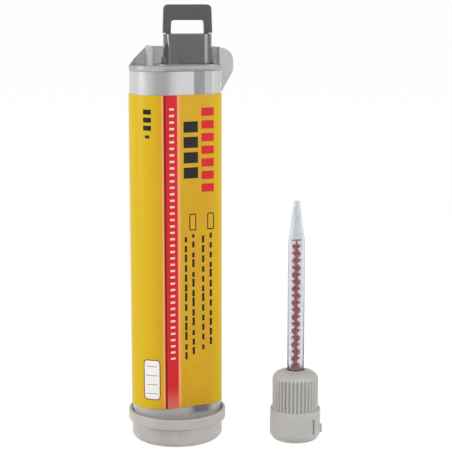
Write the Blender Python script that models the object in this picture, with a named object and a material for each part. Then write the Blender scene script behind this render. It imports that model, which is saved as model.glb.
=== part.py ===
"""Two-chamber instant adhesive cartridge with pull-loop plunger, and its screw-on static mixer.

The cartridge stands on its base cap, axis up. The origin is the centre of the cap's underside.
Metres, +Z up, +X towards the small chamber, -Y towards the printed front.
"""

from math import acos, atan2, cos, pi, radians, sin

import bmesh
import bpy
from mathutils import Matrix, Vector

MM = 0.001

# Clearances
GAP = 0.3 * MM
LABEL_GAP = 0.12 * MM
SEAL_GAP = 0.15 * MM
CUT_OVER = 1.0 * MM

# Cartridge body: two round chambers side by side inside one skin
CHAMBER_SPACING = 14.7 * MM
BORE_A_RADIUS = 8.7 * MM
BORE_B_RADIUS = 2.75 * MM
BORE_A_WALL = 1.15 * MM
BORE_B_WALL = 2.6 * MM
SKIN_WALL = 1.05 * MM
BODY_LENGTH = 116.9 * MM
END_PLATE_THICKNESS = 3.0 * MM
BORE_LEAD = 0.1 * MM

# Outlet nose and its two ports
NOSE_RADIUS = 5.5 * MM
NOSE_LENGTH = 4.8 * MM
PORT_A_X = -2.2 * MM
PORT_B_X = 3.2 * MM
PORT_A_RADIUS = 1.3 * MM
PORT_B_RADIUS = 0.85 * MM
CHANNEL_B_HALF = 0.68 * MM
NOSE_LUG_REACH = 1.1 * MM
NOSE_LUG_HEIGHT = 1.2 * MM
NOSE_LUG_WIDTH = 4.4 * MM

# Base cap
CAP_FLOOR = 1.4 * MM
CAP_BODY_WALL = 1.3 * MM
CAP_LEDGE = 6.9 * MM
CAP_LIP_HEIGHT = 3.1 * MM
CAP_LIP_WALL = 1.0 * MM
CAP_LIP_STEP = 0.2 * MM
CAP_LIP_FLARE = 0.7 * MM
CAP_FIT = 0.45 * MM
CAP_FOOT_ROUND = 2.0 * MM
CAP_RING_WALL = 0.9 * MM
CAP_RING_HEIGHT = 3.2 * MM

# Outlet plug and gasket in the cap
PLUG_THICKNESS = 1.2 * MM
GASKET_THICKNESS = 0.7 * MM
PIN_LENGTH = 2.6 * MM

# Printed wrap
WRAP_THICKNESS = 0.28 * MM
WRAP_ABOVE_LIP = 2.1 * MM
WRAP_BELOW_MOUTH = 7.6 * MM

# Finger flange
PLATE_THICKNESS = 1.3 * MM
PLATE_OVERHANG = 0.15 * MM
CROWN_RISE = 5.8 * MM
CROWN_WALL = 1.0 * MM
SHOULDER_RUN = 5.7 * MM
RIB_WIDTH = 1.6 * MM
RIB_FRONT = 2.5 * MM
EAR_REACH = 4.15 * MM
EAR_THICKNESS = 1.5 * MM
EAR_DROP = 7.4 * MM
EAR_SLOPE_RISE = 6.9 * MM
EAR_RADIUS = 4.2 * MM
COLLAR_WALL = 1.0 * MM
COLLAR_HEIGHT = 0.4 * MM
SKIRT_DEPTH = 3.0 * MM
SKIRT_WALL = 0.9 * MM
SKIRT_ARC = 1.4 * MM

# Plunger
STROKE = 42.0 * MM
YOKE_THICKNESS = 2.1 * MM
YOKE_DROP = 0.4 * MM
YOKE_A_RADIUS = 5.2 * MM
YOKE_B_RADIUS = 2.7 * MM
NECK_WIDTH = 15.9 * MM
NECK_DEPTH = 8.0 * MM
NECK_CORNER = 3.0 * MM
NECK_RISE = 10.1 * MM
NECK_MARGIN = 1.85 * MM
NECK_PLAY = 0.4 * MM
LUG_REACH = 0.6 * MM
LUG_DEPTH = 4.0 * MM
LUG_HEIGHT = 2.4 * MM
SLIT_WIDTH = 0.85 * MM
SLIT_HEIGHT = 7.6 * MM
SLIT_POINT = 1.6 * MM
SLIT_OFFSET = 6.9 * MM
SLIT_CUT = 1.3 * MM
LOOP_RISE = 9.4 * MM
LOOP_DEPTH = 4.0 * MM
LOOP_NARROWING = 0.3 * MM
LOOP_BAR = 5.0 * MM
LOOP_LEG = 2.4 * MM
LOOP_CORNER = 1.2 * MM
LOOP_INNER_CORNER = 0.9 * MM
TENON_INSET = 1.15 * MM
TENON_DEPTH = 5.4 * MM
ROD_A_BLADE = 1.5 * MM
ROD_A_FOOT_THICKNESS = 1.4 * MM
ROD_A_FOOT_CLEARANCE = 0.5 * MM
ROD_PEG_A = 1.6 * MM
ROD_PEG_B = 1.0 * MM
ROD_PEG_LENGTH = 1.2 * MM
PISTON_LENGTH = 5.6 * MM
PISTON_CLEARANCE = 0.35 * MM
SEAL_HEIGHT = 1.1 * MM
SEAL_A_WIDTH = 1.2 * MM
SEAL_B_WIDTH = 0.8 * MM
SEAL_A_END = 0.7 * MM

# Static mixer, standing on its bell nut beside the cartridge
MIXER_PLACE = (39.5 * MM, -7.5 * MM, 0.0)
BELL_RIM_STEP = 1.0 * MM
BELL_WALL = 1.6 * MM
BELL_CHAMFER = 1.7 * MM
BELL_COLLAR_TOP = 10.4 * MM
BELL_RIB_STEP = 0.8 * MM
BELL_RIB_DEPTH = 0.5 * MM
BELL_RIB_LENGTH = 10.2 * MM
BELL_RIBS = 36
BELL_SHOULDER = 2.7 * MM
BELL_NECK_HEIGHT = 0.4 * MM
BELL_NECK_WALL = 0.4 * MM
BELL_SOCKET_DEPTH = 12.0 * MM
BELL_SNAP_PLAY = 0.5 * MM
BELL_SNAP_HEIGHT = 0.8 * MM
BELL_SLOT_WIDTH = 0.8 * MM
BELL_SLOT_CUT = 0.55 * MM
BELL_SLOT_FOOT = 2.6 * MM
BELL_SLOT_HEIGHT = 5.2 * MM
BELL_SLOT_ANGLE = radians(-53.0)
BELL_LUG_REACH = 0.6 * MM
BELL_LUG_WIDTH = 2.4 * MM
BELL_LUG_HEIGHT = 2.6 * MM
BELL_LUG_ANGLE = radians(-5.0)
TUBE_RADIUS = 2.8 * MM
TUBE_BORE = 1.85 * MM
TUBE_FLANGE_THICKNESS = 1.6 * MM
TUBE_FLANGE_REACH = 0.7 * MM
TUBE_FLANGE_PLAY = 0.4 * MM
TUBE_CUP_RADIUS = 4.6 * MM
TUBE_CUP_DEPTH = 3.6 * MM
TUBE_CUP_WALL = 0.6 * MM
TUBE_CONE_HEIGHT = 5.8 * MM
TUBE_TAPER_LENGTH = 13.1 * MM
TUBE_TIP_RADIUS = 0.95 * MM
TUBE_TIP_BORE = 0.55 * MM
INSERT_FLANGE_REACH = 0.4 * MM
INSERT_FLANGE_THICKNESS = 0.9 * MM
INSERT_SPIGOT_RADIUS = 3.2 * MM
INSERT_SPIGOT_LENGTH = 2.6 * MM
INSERT_PORT_A_X = -1.6 * MM
INSERT_PORT_B_X = 1.8 * MM
INSERT_PORT_A_RADIUS = 0.9 * MM
INSERT_PORT_B_RADIUS = 0.5 * MM
RING_SECTION = 0.5 * MM
ELEMENT_COUNT = 20
ELEMENT_PITCH = 2.41 * MM
ELEMENT_THICKNESS = 0.7 * MM
ELEMENT_HUB = 0.25 * MM
ELEMENT_CLEARANCE = 0.3 * MM
ELEMENT_LEAD = 1.7 * MM
ELEMENT_ROOM = 1.45 * MM
ELEMENT_TURN = radians(38.0)

# Fineness of round surfaces, and how large the empties draw
ARC_A_STEPS = 28
ARC_B_STEPS = 14
ROUND_STEPS = 40
TUBE_STEPS = 28
SMALL_STEPS = 20
INLET_STEPS = 12
CAP_STEPS = 56
CORNER_STEPS = 5
EAR_STEPS = 10
RING_STEPS = 8
ELEMENT_STEPS = 8
SMOOTH_ANGLE = radians(32.0)
HOLDER_SIZE = 5.0 * MM

# Radii and places in plan that follow from the sizes above
SKIN_A_RADIUS = BORE_A_RADIUS + BORE_A_WALL
SKIN_B_RADIUS = BORE_B_RADIUS + BORE_B_WALL
CHAMBER_A_X = (SKIN_A_RADIUS - SKIN_B_RADIUS - CHAMBER_SPACING) / 2
CHAMBER_B_X = CHAMBER_A_X + CHAMBER_SPACING
BODY_REACH = CHAMBER_B_X + SKIN_B_RADIUS
WELL_A_RADIUS = SKIN_A_RADIUS - SKIN_WALL
WELL_B_RADIUS = SKIN_B_RADIUS - SKIN_WALL
CAP_LIP_BORE = BODY_REACH + CAP_FIT
CAP_LIP_RADIUS = CAP_LIP_BORE + CAP_LIP_WALL
CAP_BODY_RADIUS = CAP_LIP_BORE - CAP_LIP_STEP
CAP_BODY_BORE = CAP_BODY_RADIUS - CAP_BODY_WALL
CAP_RING_BORE = NOSE_RADIUS + NOSE_LUG_REACH + GAP
PLATE_A_RADIUS = SKIN_A_RADIUS + PLATE_OVERHANG
PLATE_B_RADIUS = SKIN_B_RADIUS + PLATE_OVERHANG
CROWN_A_RADIUS = PLATE_A_RADIUS - GAP
CROWN_B_RADIUS = PLATE_B_RADIUS - GAP
NECK_X = CHAMBER_B_X + WELL_B_RADIUS - NECK_MARGIN - NECK_WIDTH / 2
PISTON_A_RADIUS = BORE_A_RADIUS - PISTON_CLEARANCE
PISTON_B_RADIUS = BORE_B_RADIUS - PISTON_CLEARANCE
ROD_A_REACH = WELL_A_RADIUS - SKIRT_WALL - 2 * GAP
ROD_B_RADIUS = PISTON_B_RADIUS - GAP
BELL_SOCKET_RADIUS = NOSE_RADIUS + NOSE_LUG_REACH + GAP
BELL_COLLAR_RADIUS = BELL_SOCKET_RADIUS + BELL_WALL
BELL_RIM_RADIUS = BELL_COLLAR_RADIUS - BELL_RIM_STEP
BELL_RIB_CREST = BELL_COLLAR_RADIUS - BELL_RIB_STEP
BELL_RIB_ROOT = BELL_RIB_CREST - BELL_RIB_DEPTH
TUBE_CUP_OUTER = TUBE_CUP_RADIUS + TUBE_CUP_WALL
TUBE_FLANGE_RADIUS = TUBE_CUP_OUTER + TUBE_FLANGE_REACH
BELL_CHAMBER_RADIUS = TUBE_FLANGE_RADIUS + TUBE_FLANGE_PLAY
INSERT_FLANGE_RADIUS = TUBE_CUP_RADIUS + INSERT_FLANGE_REACH
BELL_SNAP_RADIUS = INSERT_FLANGE_RADIUS + BELL_SNAP_PLAY

# Levels that follow, from the floor up
PLUG_FOOT = CAP_FLOOR + GAP
PLUG_TOP = PLUG_FOOT + PLUG_THICKNESS
GASKET_FOOT = PLUG_TOP + GAP
GASKET_TOP = GASKET_FOOT + GASKET_THICKNESS
NOSE_FOOT = GASKET_TOP + GAP
END_PLATE_FOOT = NOSE_FOOT + NOSE_LENGTH
CAP_LIP_TOP = CAP_LEDGE + CAP_LIP_HEIGHT
CAP_RING_TOP = CAP_FLOOR + CAP_RING_HEIGHT
BODY_FOOT = CAP_LEDGE + GAP
BODY_TOP = BODY_FOOT + BODY_LENGTH
BORE_FLOOR = END_PLATE_FOOT + END_PLATE_THICKNESS
PISTON_FOOT = BORE_FLOOR + STROKE + GAP
PISTON_TOP = PISTON_FOOT + PISTON_LENGTH
BORE_TOP = PISTON_TOP + BORE_LEAD
WRAP_FOOT = CAP_LIP_TOP + WRAP_ABOVE_LIP
WRAP_TOP = BODY_TOP - WRAP_BELOW_MOUTH
PLATE_FOOT = BODY_TOP + GAP
PLATE_TOP = PLATE_FOOT + PLATE_THICKNESS
CROWN_TOP = PLATE_TOP + CROWN_RISE
YOKE_TOP = PLATE_FOOT - YOKE_DROP
YOKE_FOOT = YOKE_TOP - YOKE_THICKNESS
NECK_TOP = PLATE_TOP + NECK_RISE
LOOP_TOP = NECK_TOP + LOOP_RISE
ROD_FOOT = PISTON_TOP + GAP
ROD_TOP = YOKE_FOOT - GAP
BELL_RIB_TOP = BELL_COLLAR_TOP + BELL_RIB_LENGTH
BELL_TOP = BELL_RIB_TOP + BELL_SHOULDER + BELL_NECK_HEIGHT
TUBE_FOOT = BELL_SOCKET_DEPTH + BELL_SNAP_HEIGHT + GAP
TUBE_CUP_TOP = TUBE_FOOT + TUBE_CUP_DEPTH
TUBE_CONE_TOP = TUBE_CUP_TOP + TUBE_CONE_HEIGHT
INSERT_TOP = TUBE_CUP_TOP - GAP
ELEMENT_FOOT = TUBE_CUP_TOP + ELEMENT_LEAD
TUBE_TAPER_FOOT = ELEMENT_FOOT + ELEMENT_COUNT * ELEMENT_PITCH + ELEMENT_ROOM
TUBE_TIP = TUBE_TAPER_FOOT + TUBE_TAPER_LENGTH

# Plastics and rubbers: colour, roughness, transmission
MATERIALS = {
    "clear_polypropylene": ((0.72, 0.73, 0.74, 1.0), 0.35, 0.6),
    "clear_mixer_tube": ((0.80, 0.84, 0.87, 1.0), 0.2, 0.7),
    "printed_film": ((0.80, 0.52, 0.05, 1.0), 0.4, 0.0),
    "grey_plunger": ((0.11, 0.11, 0.12, 1.0), 0.35, 0.0),
    "dark_plug": ((0.10, 0.08, 0.12, 1.0), 0.5, 0.0),
    "black_rubber": ((0.02, 0.02, 0.02, 1.0), 0.6, 0.0),
    "white_piston": ((0.78, 0.78, 0.76, 1.0), 0.4, 0.0),
    "warm_grey_bell": ((0.62, 0.62, 0.58, 1.0), 0.45, 0.0),
    "red_element": ((0.40, 0.03, 0.06, 1.0), 0.4, 0.0),
}


def clear_scene():
    """Removes what the scene holds."""
    for thing in list(bpy.data.objects):
        bpy.data.objects.remove(thing, do_unlink=True)


def plastic(name):
    """The named material, made once."""
    found = bpy.data.materials.get(name)
    if found:
        return found
    colour, roughness, transmission = MATERIALS[name]
    made = bpy.data.materials.new(name)
    made.use_nodes = True
    shader = made.node_tree.nodes["Principled BSDF"]
    shader.inputs["Base Color"].default_value = colour
    shader.inputs["Roughness"].default_value = roughness
    shader.inputs["Metallic"].default_value = 0.0
    shader.inputs["Transmission Weight"].default_value = transmission
    made.diffuse_color = colour
    return made


def object_from(bm, name):
    """A linked object that holds the bmesh, with its faces pointing out."""
    bmesh.ops.remove_doubles(bm, verts=bm.verts, dist=1e-8)
    bmesh.ops.recalc_face_normals(bm, faces=bm.faces)
    mesh = bpy.data.meshes.new(name)
    bm.to_mesh(mesh)
    bm.free()
    made = bpy.data.objects.new(name, mesh)
    bpy.context.collection.objects.link(made)
    return made


def prism(name, outline, foot, top):
    """An outline in plan, drawn up from foot to top."""
    bm = bmesh.new()
    face = bm.faces.new([bm.verts.new((x, y, foot)) for x, y in outline])
    grown = bmesh.ops.extrude_face_region(bm, geom=[face])
    risen = [v for v in grown["geom"] if isinstance(v, bmesh.types.BMVert)]
    bmesh.ops.translate(bm, verts=risen, vec=(0, 0, top - foot))
    return object_from(bm, name)


def slab(name, outline, front, back):
    """An outline in elevation (x, z), drawn back from front to back."""
    made = prism(name, outline, -back, -front)
    made.data.transform(Matrix.Rotation(pi / 2, 4, "X"))
    return made


def turned(name, profile, steps=ROUND_STEPS, centre_x=0.0):
    """A profile of (radius, z) points turned about an upright axis; it closes itself off the axis."""
    bm = bmesh.new()
    points = [bm.verts.new((r, 0, z)) for r, z in profile]
    edges = [bm.edges.new(pair) for pair in zip(points, points[1:])]
    if profile[0][0] > 0 or profile[-1][0] > 0:
        edges.append(bm.edges.new((points[-1], points[0])))
    bmesh.ops.spin(
        bm, geom=points + edges, cent=(0, 0, 0), axis=(0, 0, 1), angle=2 * pi, steps=steps, use_merge=True
    )
    bmesh.ops.translate(bm, verts=bm.verts, vec=(centre_x, 0, 0))
    return object_from(bm, name)


def cylinder(name, radius, foot, top, centre_x=0.0, steps=ROUND_STEPS):
    """A plain upright cylinder."""
    return turned(name, [(0, foot), (radius, foot), (radius, top), (0, top)], steps, centre_x)


def box(name, low, high):
    """A box between two corners."""
    outline = [(low[0], low[1]), (high[0], low[1]), (high[0], high[1]), (low[0], high[1])]
    return prism(name, outline, low[2], high[2])


def combine(target, other, operation):
    """Joins, cuts or crosses the target with the other object, which is used up."""
    modifier = target.modifiers.new(operation.lower(), "BOOLEAN")
    modifier.operation = operation
    modifier.solver = "EXACT"
    modifier.object = other
    graph = bpy.context.evaluated_depsgraph_get()
    result = bpy.data.meshes.new_from_object(target.evaluated_get(graph))
    target.modifiers.remove(modifier)
    target.data = result
    bpy.data.objects.remove(other, do_unlink=True)
    return target


def join(target, *others):
    """The target with the others added to it."""
    for other in others:
        combine(target, other, "UNION")
    return target


def cut(target, *others):
    """The target with the others taken out of it."""
    for other in others:
        combine(target, other, "DIFFERENCE")
    return target


def finish(piece, material, holder=None):
    """Gives the piece its material, smooth shading and the empty that carries it."""
    piece.data.materials.clear()
    piece.data.materials.append(plastic(material))
    piece.data.shade_smooth()
    piece.data.set_sharp_from_angle(angle=SMOOTH_ANGLE)
    piece.parent = holder
    return piece


def two_lobes(radius_a, radius_b):
    """Plan outline round both chambers: two arcs and the straight sides that touch both."""
    turn = acos((radius_a - radius_b) / (CHAMBER_B_X - CHAMBER_A_X))
    outline = []
    for i in range(ARC_B_STEPS + 1):
        angle = -turn + 2 * turn * i / ARC_B_STEPS
        outline.append((CHAMBER_B_X + radius_b * cos(angle), radius_b * sin(angle)))
    for i in range(ARC_A_STEPS + 1):
        angle = turn + (2 * pi - 2 * turn) * i / ARC_A_STEPS
        outline.append((CHAMBER_A_X + radius_a * cos(angle), radius_a * sin(angle)))
    return outline


def rounded(corners, steps=CORNER_STEPS):
    """An outline through (x, y, radius) corners, each replaced by an arc of its radius."""
    outline = []
    count = len(corners)
    for i, (x, y, radius) in enumerate(corners):
        here = Vector((x, y))
        before = Vector(corners[i - 1][:2]) - here
        after = Vector(corners[(i + 1) % count][:2]) - here
        if radius <= 0:
            outline.append((x, y))
            continue
        half = before.angle(after) / 2
        centre = here + (before.normalized() + after.normalized()).normalized() * (radius / sin(half))
        reach = radius / (sin(half) / cos(half))
        start = here + before.normalized() * reach - centre
        end = here + after.normalized() * reach - centre
        first = atan2(start.y, start.x)
        sweep = (atan2(end.y, end.x) - first + pi) % (2 * pi) - pi
        for k in range(steps + 1):
            angle = first + sweep * k / steps
            outline.append((centre.x + radius * cos(angle), centre.y + radius * sin(angle)))
    return outline


def rounded_block(width, depth, corner, centre_x=0.0):
    """Plan outline of a block with round corners."""
    x, y = width / 2, depth / 2
    return rounded([(centre_x + sx * x, sy * y, corner) for sx, sy in ((1, -1), (1, 1), (-1, 1), (-1, -1))])


def foot_curve(corner_r, corner_z, reach_r, reach_z):
    """Profile points round a lower outer corner, from its underside to its side."""
    points = []
    for i in range(CORNER_STEPS + 1):
        angle = pi / 2 * i / CORNER_STEPS
        points.append((corner_r + reach_r * sin(angle), corner_z - reach_z * cos(angle)))
    return points


def around(piece, angle):
    """Turns the piece's mesh about the upright axis."""
    piece.data.transform(Matrix.Rotation(angle, 4, "Z"))
    return piece


def make_base_cap():
    """The clear cap that the cartridge stands in, with a round foot and a ring round the outlet."""
    corner = (CAP_BODY_RADIUS - CAP_FOOT_ROUND, CAP_FOOT_ROUND)
    outside = foot_curve(*corner, CAP_FOOT_ROUND, CAP_FOOT_ROUND)
    inside = foot_curve(*corner, CAP_FOOT_ROUND - CAP_BODY_WALL, CAP_FOOT_ROUND - CAP_FLOOR)
    profile = [(0, 0)] + outside
    profile += [
        (CAP_BODY_RADIUS, CAP_LEDGE - CAP_LIP_FLARE),
        (CAP_LIP_RADIUS, CAP_LEDGE),
        (CAP_LIP_RADIUS, CAP_LIP_TOP - GAP),
        (CAP_LIP_RADIUS - GAP, CAP_LIP_TOP),
        (CAP_LIP_BORE, CAP_LIP_TOP),
        (CAP_LIP_BORE, CAP_LEDGE),
        (CAP_BODY_BORE, CAP_LEDGE),
    ]
    profile += reversed(inside)
    profile += [
        (CAP_RING_BORE + CAP_RING_WALL, CAP_FLOOR),
        (CAP_RING_BORE + CAP_RING_WALL, CAP_RING_TOP),
        (CAP_RING_BORE, CAP_RING_TOP),
        (CAP_RING_BORE, CAP_FLOOR),
        (0, CAP_FLOOR),
    ]
    return finish(turned("base_cap", profile, CAP_STEPS), "clear_polypropylene")


def make_outlet_plug():
    """The dark stopper in the cap's ring, with a pin for each port."""
    plug = cylinder("outlet_plug", CAP_RING_BORE - GAP, PLUG_FOOT, PLUG_TOP)
    pin_top = GASKET_TOP + PIN_LENGTH
    for port_x, port_radius in ((PORT_A_X, PORT_A_RADIUS), (PORT_B_X, PORT_B_RADIUS)):
        radius = port_radius - GAP
        pin = turned(
            "pin",
            [(0, PLUG_FOOT + GAP), (radius, PLUG_FOOT + GAP), (radius, pin_top - radius / 2), (0, pin_top)],
            SMALL_STEPS,
            port_x,
        )
        join(plug, pin)
    return finish(plug, "dark_plug")


def make_outlet_gasket():
    """The rubber disc between plug and nose, with a hole for each pin."""
    gasket = cylinder("outlet_gasket", NOSE_RADIUS, GASKET_FOOT, GASKET_TOP)
    for port_x, port_radius in ((PORT_A_X, PORT_A_RADIUS), (PORT_B_X, PORT_B_RADIUS)):
        cut(gasket, cylinder("hole", port_radius, PLUG_FOOT, GASKET_TOP + CUT_OVER, port_x, SMALL_STEPS))
    return finish(gasket, "black_rubber")


def make_body(holder):
    """The clear body: one skin, two bores, the open well above them and the outlet nose."""
    body = prism("cartridge_body", two_lobes(SKIN_A_RADIUS, SKIN_B_RADIUS), BODY_FOOT, BODY_TOP)
    well = two_lobes(WELL_A_RADIUS, WELL_B_RADIUS)
    cut(body, prism("well", well, BORE_TOP, BODY_TOP + CUT_OVER))
    cut(body, prism("base recess", well, BODY_FOOT - CUT_OVER, END_PLATE_FOOT))
    cut(body, cylinder("bore a", BORE_A_RADIUS, BORE_FLOOR, BORE_TOP + CUT_OVER, CHAMBER_A_X))
    cut(body, cylinder("bore b", BORE_B_RADIUS, BORE_FLOOR, BORE_TOP + CUT_OVER, CHAMBER_B_X, SMALL_STEPS))
    nose = cylinder("nose", NOSE_RADIUS, NOSE_FOOT, END_PLATE_FOOT + GAP)
    lug_reach = NOSE_RADIUS + NOSE_LUG_REACH
    lugs = box(
        "lugs",
        (-lug_reach, -NOSE_LUG_WIDTH / 2, NOSE_FOOT + GAP),
        (lug_reach, NOSE_LUG_WIDTH / 2, NOSE_FOOT + GAP + NOSE_LUG_HEIGHT),
    )
    combine(lugs, cylinder("lug round", lug_reach, NOSE_FOOT - CUT_OVER, END_PLATE_FOOT), "INTERSECT")
    join(nose, lugs)
    join(body, nose)
    channel_level = END_PLATE_FOOT + END_PLATE_THICKNESS / 2
    port_foot = NOSE_FOOT - CUT_OVER
    cut(body, cylinder("port a", PORT_A_RADIUS, port_foot, BORE_FLOOR + GAP, PORT_A_X, SMALL_STEPS))
    cut(body, cylinder("port b", PORT_B_RADIUS, port_foot, channel_level, PORT_B_X, SMALL_STEPS))
    channel_low = (PORT_B_X, -CHANNEL_B_HALF, channel_level - CHANNEL_B_HALF)
    channel_high = (CHAMBER_B_X, CHANNEL_B_HALF, channel_level + CHANNEL_B_HALF)
    cut(body, box("channel b", channel_low, channel_high))
    cut(body, cylinder("riser b", PORT_B_RADIUS, channel_level, BORE_FLOOR + GAP, CHAMBER_B_X, SMALL_STEPS))
    return finish(body, "clear_polypropylene", holder)


def make_wrap(holder):
    """The printed film round the body."""
    near = LABEL_GAP
    far = LABEL_GAP + WRAP_THICKNESS
    wrap = prism("printed_wrap", two_lobes(SKIN_A_RADIUS + far, SKIN_B_RADIUS + far), WRAP_FOOT, WRAP_TOP)
    inside = two_lobes(SKIN_A_RADIUS + near, SKIN_B_RADIUS + near)
    cut(wrap, prism("inside", inside, WRAP_FOOT - CUT_OVER, WRAP_TOP + CUT_OVER))
    return finish(wrap, "printed_film", holder)


def make_crown():
    """The wall round the plate's back, with a slope at the left and the rib that the slope runs up to."""
    foot = PLATE_FOOT + GAP
    past = 2 * SKIN_A_RADIUS
    over = CROWN_TOP + CUT_OVER
    crown = prism("crown", two_lobes(CROWN_A_RADIUS, CROWN_B_RADIUS), foot, CROWN_TOP)
    inside = two_lobes(CROWN_A_RADIUS - CROWN_WALL, CROWN_B_RADIUS - CROWN_WALL)
    cut(crown, prism("crown inside", inside, foot - CUT_OVER, over))
    cut(crown, box("crown front", (-past, -past, foot - CUT_OVER), (past, -GAP, over)))
    left = CHAMBER_A_X - CROWN_A_RADIUS
    rib_x = left + SHOULDER_RUN
    fall = (CROWN_RISE - GAP) / (SHOULDER_RUN + GAP) * CUT_OVER
    slope = [
        (left - CUT_OVER, PLATE_TOP + GAP - fall),
        (rib_x + GAP, CROWN_TOP),
        (rib_x + GAP, over),
        (left - CUT_OVER, over),
    ]
    cut(crown, slab("slope", slope, -past, past))
    rib = box("rib", (rib_x, -RIB_FRONT, foot + GAP), (rib_x + RIB_WIDTH, past, CROWN_TOP + GAP))
    trim = two_lobes(CROWN_A_RADIUS - GAP, CROWN_B_RADIUS - GAP)
    return join(crown, combine(rib, prism("rib trim", trim, foot - CUT_OVER, over), "INTERSECT"))


def make_ear():
    """The round ear beside the small chamber, which draws in to a point above the print."""
    root = BODY_REACH + GAP
    reach = BODY_REACH + EAR_REACH
    tip = PLATE_FOOT - EAR_DROP
    inner = CHAMBER_B_X + CROWN_B_RADIUS - CROWN_WALL / 2
    seat = PLATE_FOOT + GAP
    top = CROWN_TOP - GAP
    outline = rounded(
        [
            (root, tip, 0),
            (reach, tip + EAR_SLOPE_RISE, EAR_RADIUS),
            (reach, top, EAR_RADIUS),
            (inner, top, 0),
            (inner, seat, 0),
            (root, seat, 0),
        ],
        EAR_STEPS,
    )
    return slab("ear", outline, -EAR_THICKNESS / 2, EAR_THICKNESS / 2)


def make_skirt():
    """The wall under the plate that hugs the inside of the big chamber's skin."""
    foot = PLATE_FOOT - SKIRT_DEPTH
    top = PLATE_FOOT + GAP
    skirt = prism("skirt", two_lobes(WELL_A_RADIUS - GAP, WELL_B_RADIUS - GAP), foot, top)
    inside = two_lobes(WELL_A_RADIUS - GAP - SKIRT_WALL, WELL_B_RADIUS - GAP - SKIRT_WALL)
    cut(skirt, prism("skirt inside", inside, foot - CUT_OVER, top + CUT_OVER))
    past = 2 * SKIN_A_RADIUS
    end = NECK_X - NECK_WIDTH / 2 - SKIRT_ARC
    return cut(skirt, box("skirt end", (end, -past, foot - CUT_OVER), (2 * past, past, top + CUT_OVER)))


def make_flange(holder):
    """The plate on the body's mouth, with its collar, skirt, back wall, rib, ear and neck hole."""
    flange = prism("finger_flange", two_lobes(PLATE_A_RADIUS, PLATE_B_RADIUS), PLATE_FOOT, PLATE_TOP)
    width = NECK_WIDTH + 2 * (LUG_REACH + GAP)
    depth = NECK_DEPTH + 2 * NECK_PLAY
    corner = NECK_CORNER + NECK_PLAY
    wall = COLLAR_WALL
    around_hole = rounded_block(width + 2 * wall, depth + 2 * wall, corner + wall, NECK_X)
    collar_top = PLATE_TOP + COLLAR_HEIGHT
    collar = prism("collar", around_hole, PLATE_FOOT + GAP, collar_top)
    join(flange, collar, make_crown(), make_ear(), make_skirt())
    hole = rounded_block(width, depth, corner, NECK_X)
    cut(flange, prism("neck hole", hole, PLATE_FOOT - SKIRT_DEPTH - CUT_OVER, collar_top + CUT_OVER))
    return finish(flange, "clear_polypropylene", holder)


def make_yoke(holder):
    """The plunger's thrust plate and its glossy neck, with a slot for the loop's tenon."""
    yoke = prism("plunger_yoke", two_lobes(YOKE_A_RADIUS, YOKE_B_RADIUS), YOKE_FOOT, YOKE_TOP)
    neck_outline = rounded_block(NECK_WIDTH, NECK_DEPTH, NECK_CORNER, NECK_X)
    neck = prism("neck", neck_outline, YOKE_FOOT + GAP, NECK_TOP)
    lug_foot = PLATE_TOP + GAP
    lugs = rounded_block(NECK_WIDTH + 2 * LUG_REACH, LUG_DEPTH, LUG_REACH, NECK_X)
    join(neck, prism("lugs", lugs, lug_foot, lug_foot + LUG_HEIGHT))
    join(yoke, neck)
    tenon = NECK_WIDTH - 2 * TENON_INSET
    slot = rounded_block(tenon + 2 * GAP, LOOP_DEPTH + 2 * GAP, GAP, NECK_X)
    cut(yoke, prism("tenon slot", slot, NECK_TOP - TENON_DEPTH - GAP, NECK_TOP + CUT_OVER))
    slit_foot = lug_foot
    slit_top = slit_foot + SLIT_HEIGHT
    slit_x = NECK_X - SLIT_OFFSET
    slit = [
        (slit_x - SLIT_WIDTH / 2, slit_foot),
        (slit_x + SLIT_WIDTH / 2, slit_foot),
        (slit_x + SLIT_WIDTH / 2, slit_top - SLIT_POINT),
        (slit_x, slit_top),
        (slit_x - SLIT_WIDTH / 2, slit_top - SLIT_POINT),
    ]
    cut(yoke, slab("slit", slit, -NECK_DEPTH / 2 - CUT_OVER, -NECK_DEPTH / 2 + SLIT_CUT))
    for rod_x, peg in ((CHAMBER_A_X, ROD_PEG_A), (CHAMBER_B_X, ROD_PEG_B)):
        hole_top = YOKE_FOOT + ROD_PEG_LENGTH + GAP
        cut(yoke, cylinder("peg hole", peg + GAP, YOKE_FOOT - CUT_OVER, hole_top, rod_x, SMALL_STEPS))
    return finish(yoke, "grey_plunger", holder)


def make_loop(holder):
    """The pull loop, whose tenon sits in the neck."""
    half = NECK_WIDTH / 2
    shoulder = NECK_TOP + GAP
    tenon = half - TENON_INSET
    outer = rounded(
        [
            (-tenon, NECK_TOP - TENON_DEPTH, 0),
            (tenon, NECK_TOP - TENON_DEPTH, 0),
            (tenon, shoulder, 0),
            (half, shoulder, 0),
            (half - LOOP_NARROWING, LOOP_TOP, LOOP_CORNER),
            (LOOP_NARROWING - half, LOOP_TOP, LOOP_CORNER),
            (-half, shoulder, 0),
            (-tenon, shoulder, 0),
        ]
    )
    outer = [(NECK_X + x, z) for x, z in outer]
    gap_half = half - LOOP_LEG
    window = rounded(
        [
            (-gap_half, NECK_TOP, GAP),
            (gap_half, NECK_TOP, GAP),
            (gap_half - LOOP_NARROWING / 2, LOOP_TOP - LOOP_BAR, LOOP_INNER_CORNER),
            (LOOP_NARROWING / 2 - gap_half, LOOP_TOP - LOOP_BAR, LOOP_INNER_CORNER),
        ]
    )
    window = [(NECK_X + x, z) for x, z in window]
    loop = slab("pull_loop", outer, -LOOP_DEPTH / 2, LOOP_DEPTH / 2)
    cut(loop, slab("finger gap", window, -LOOP_DEPTH / 2 - CUT_OVER, LOOP_DEPTH / 2 + CUT_OVER))
    return finish(loop, "grey_plunger", holder)


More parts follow.
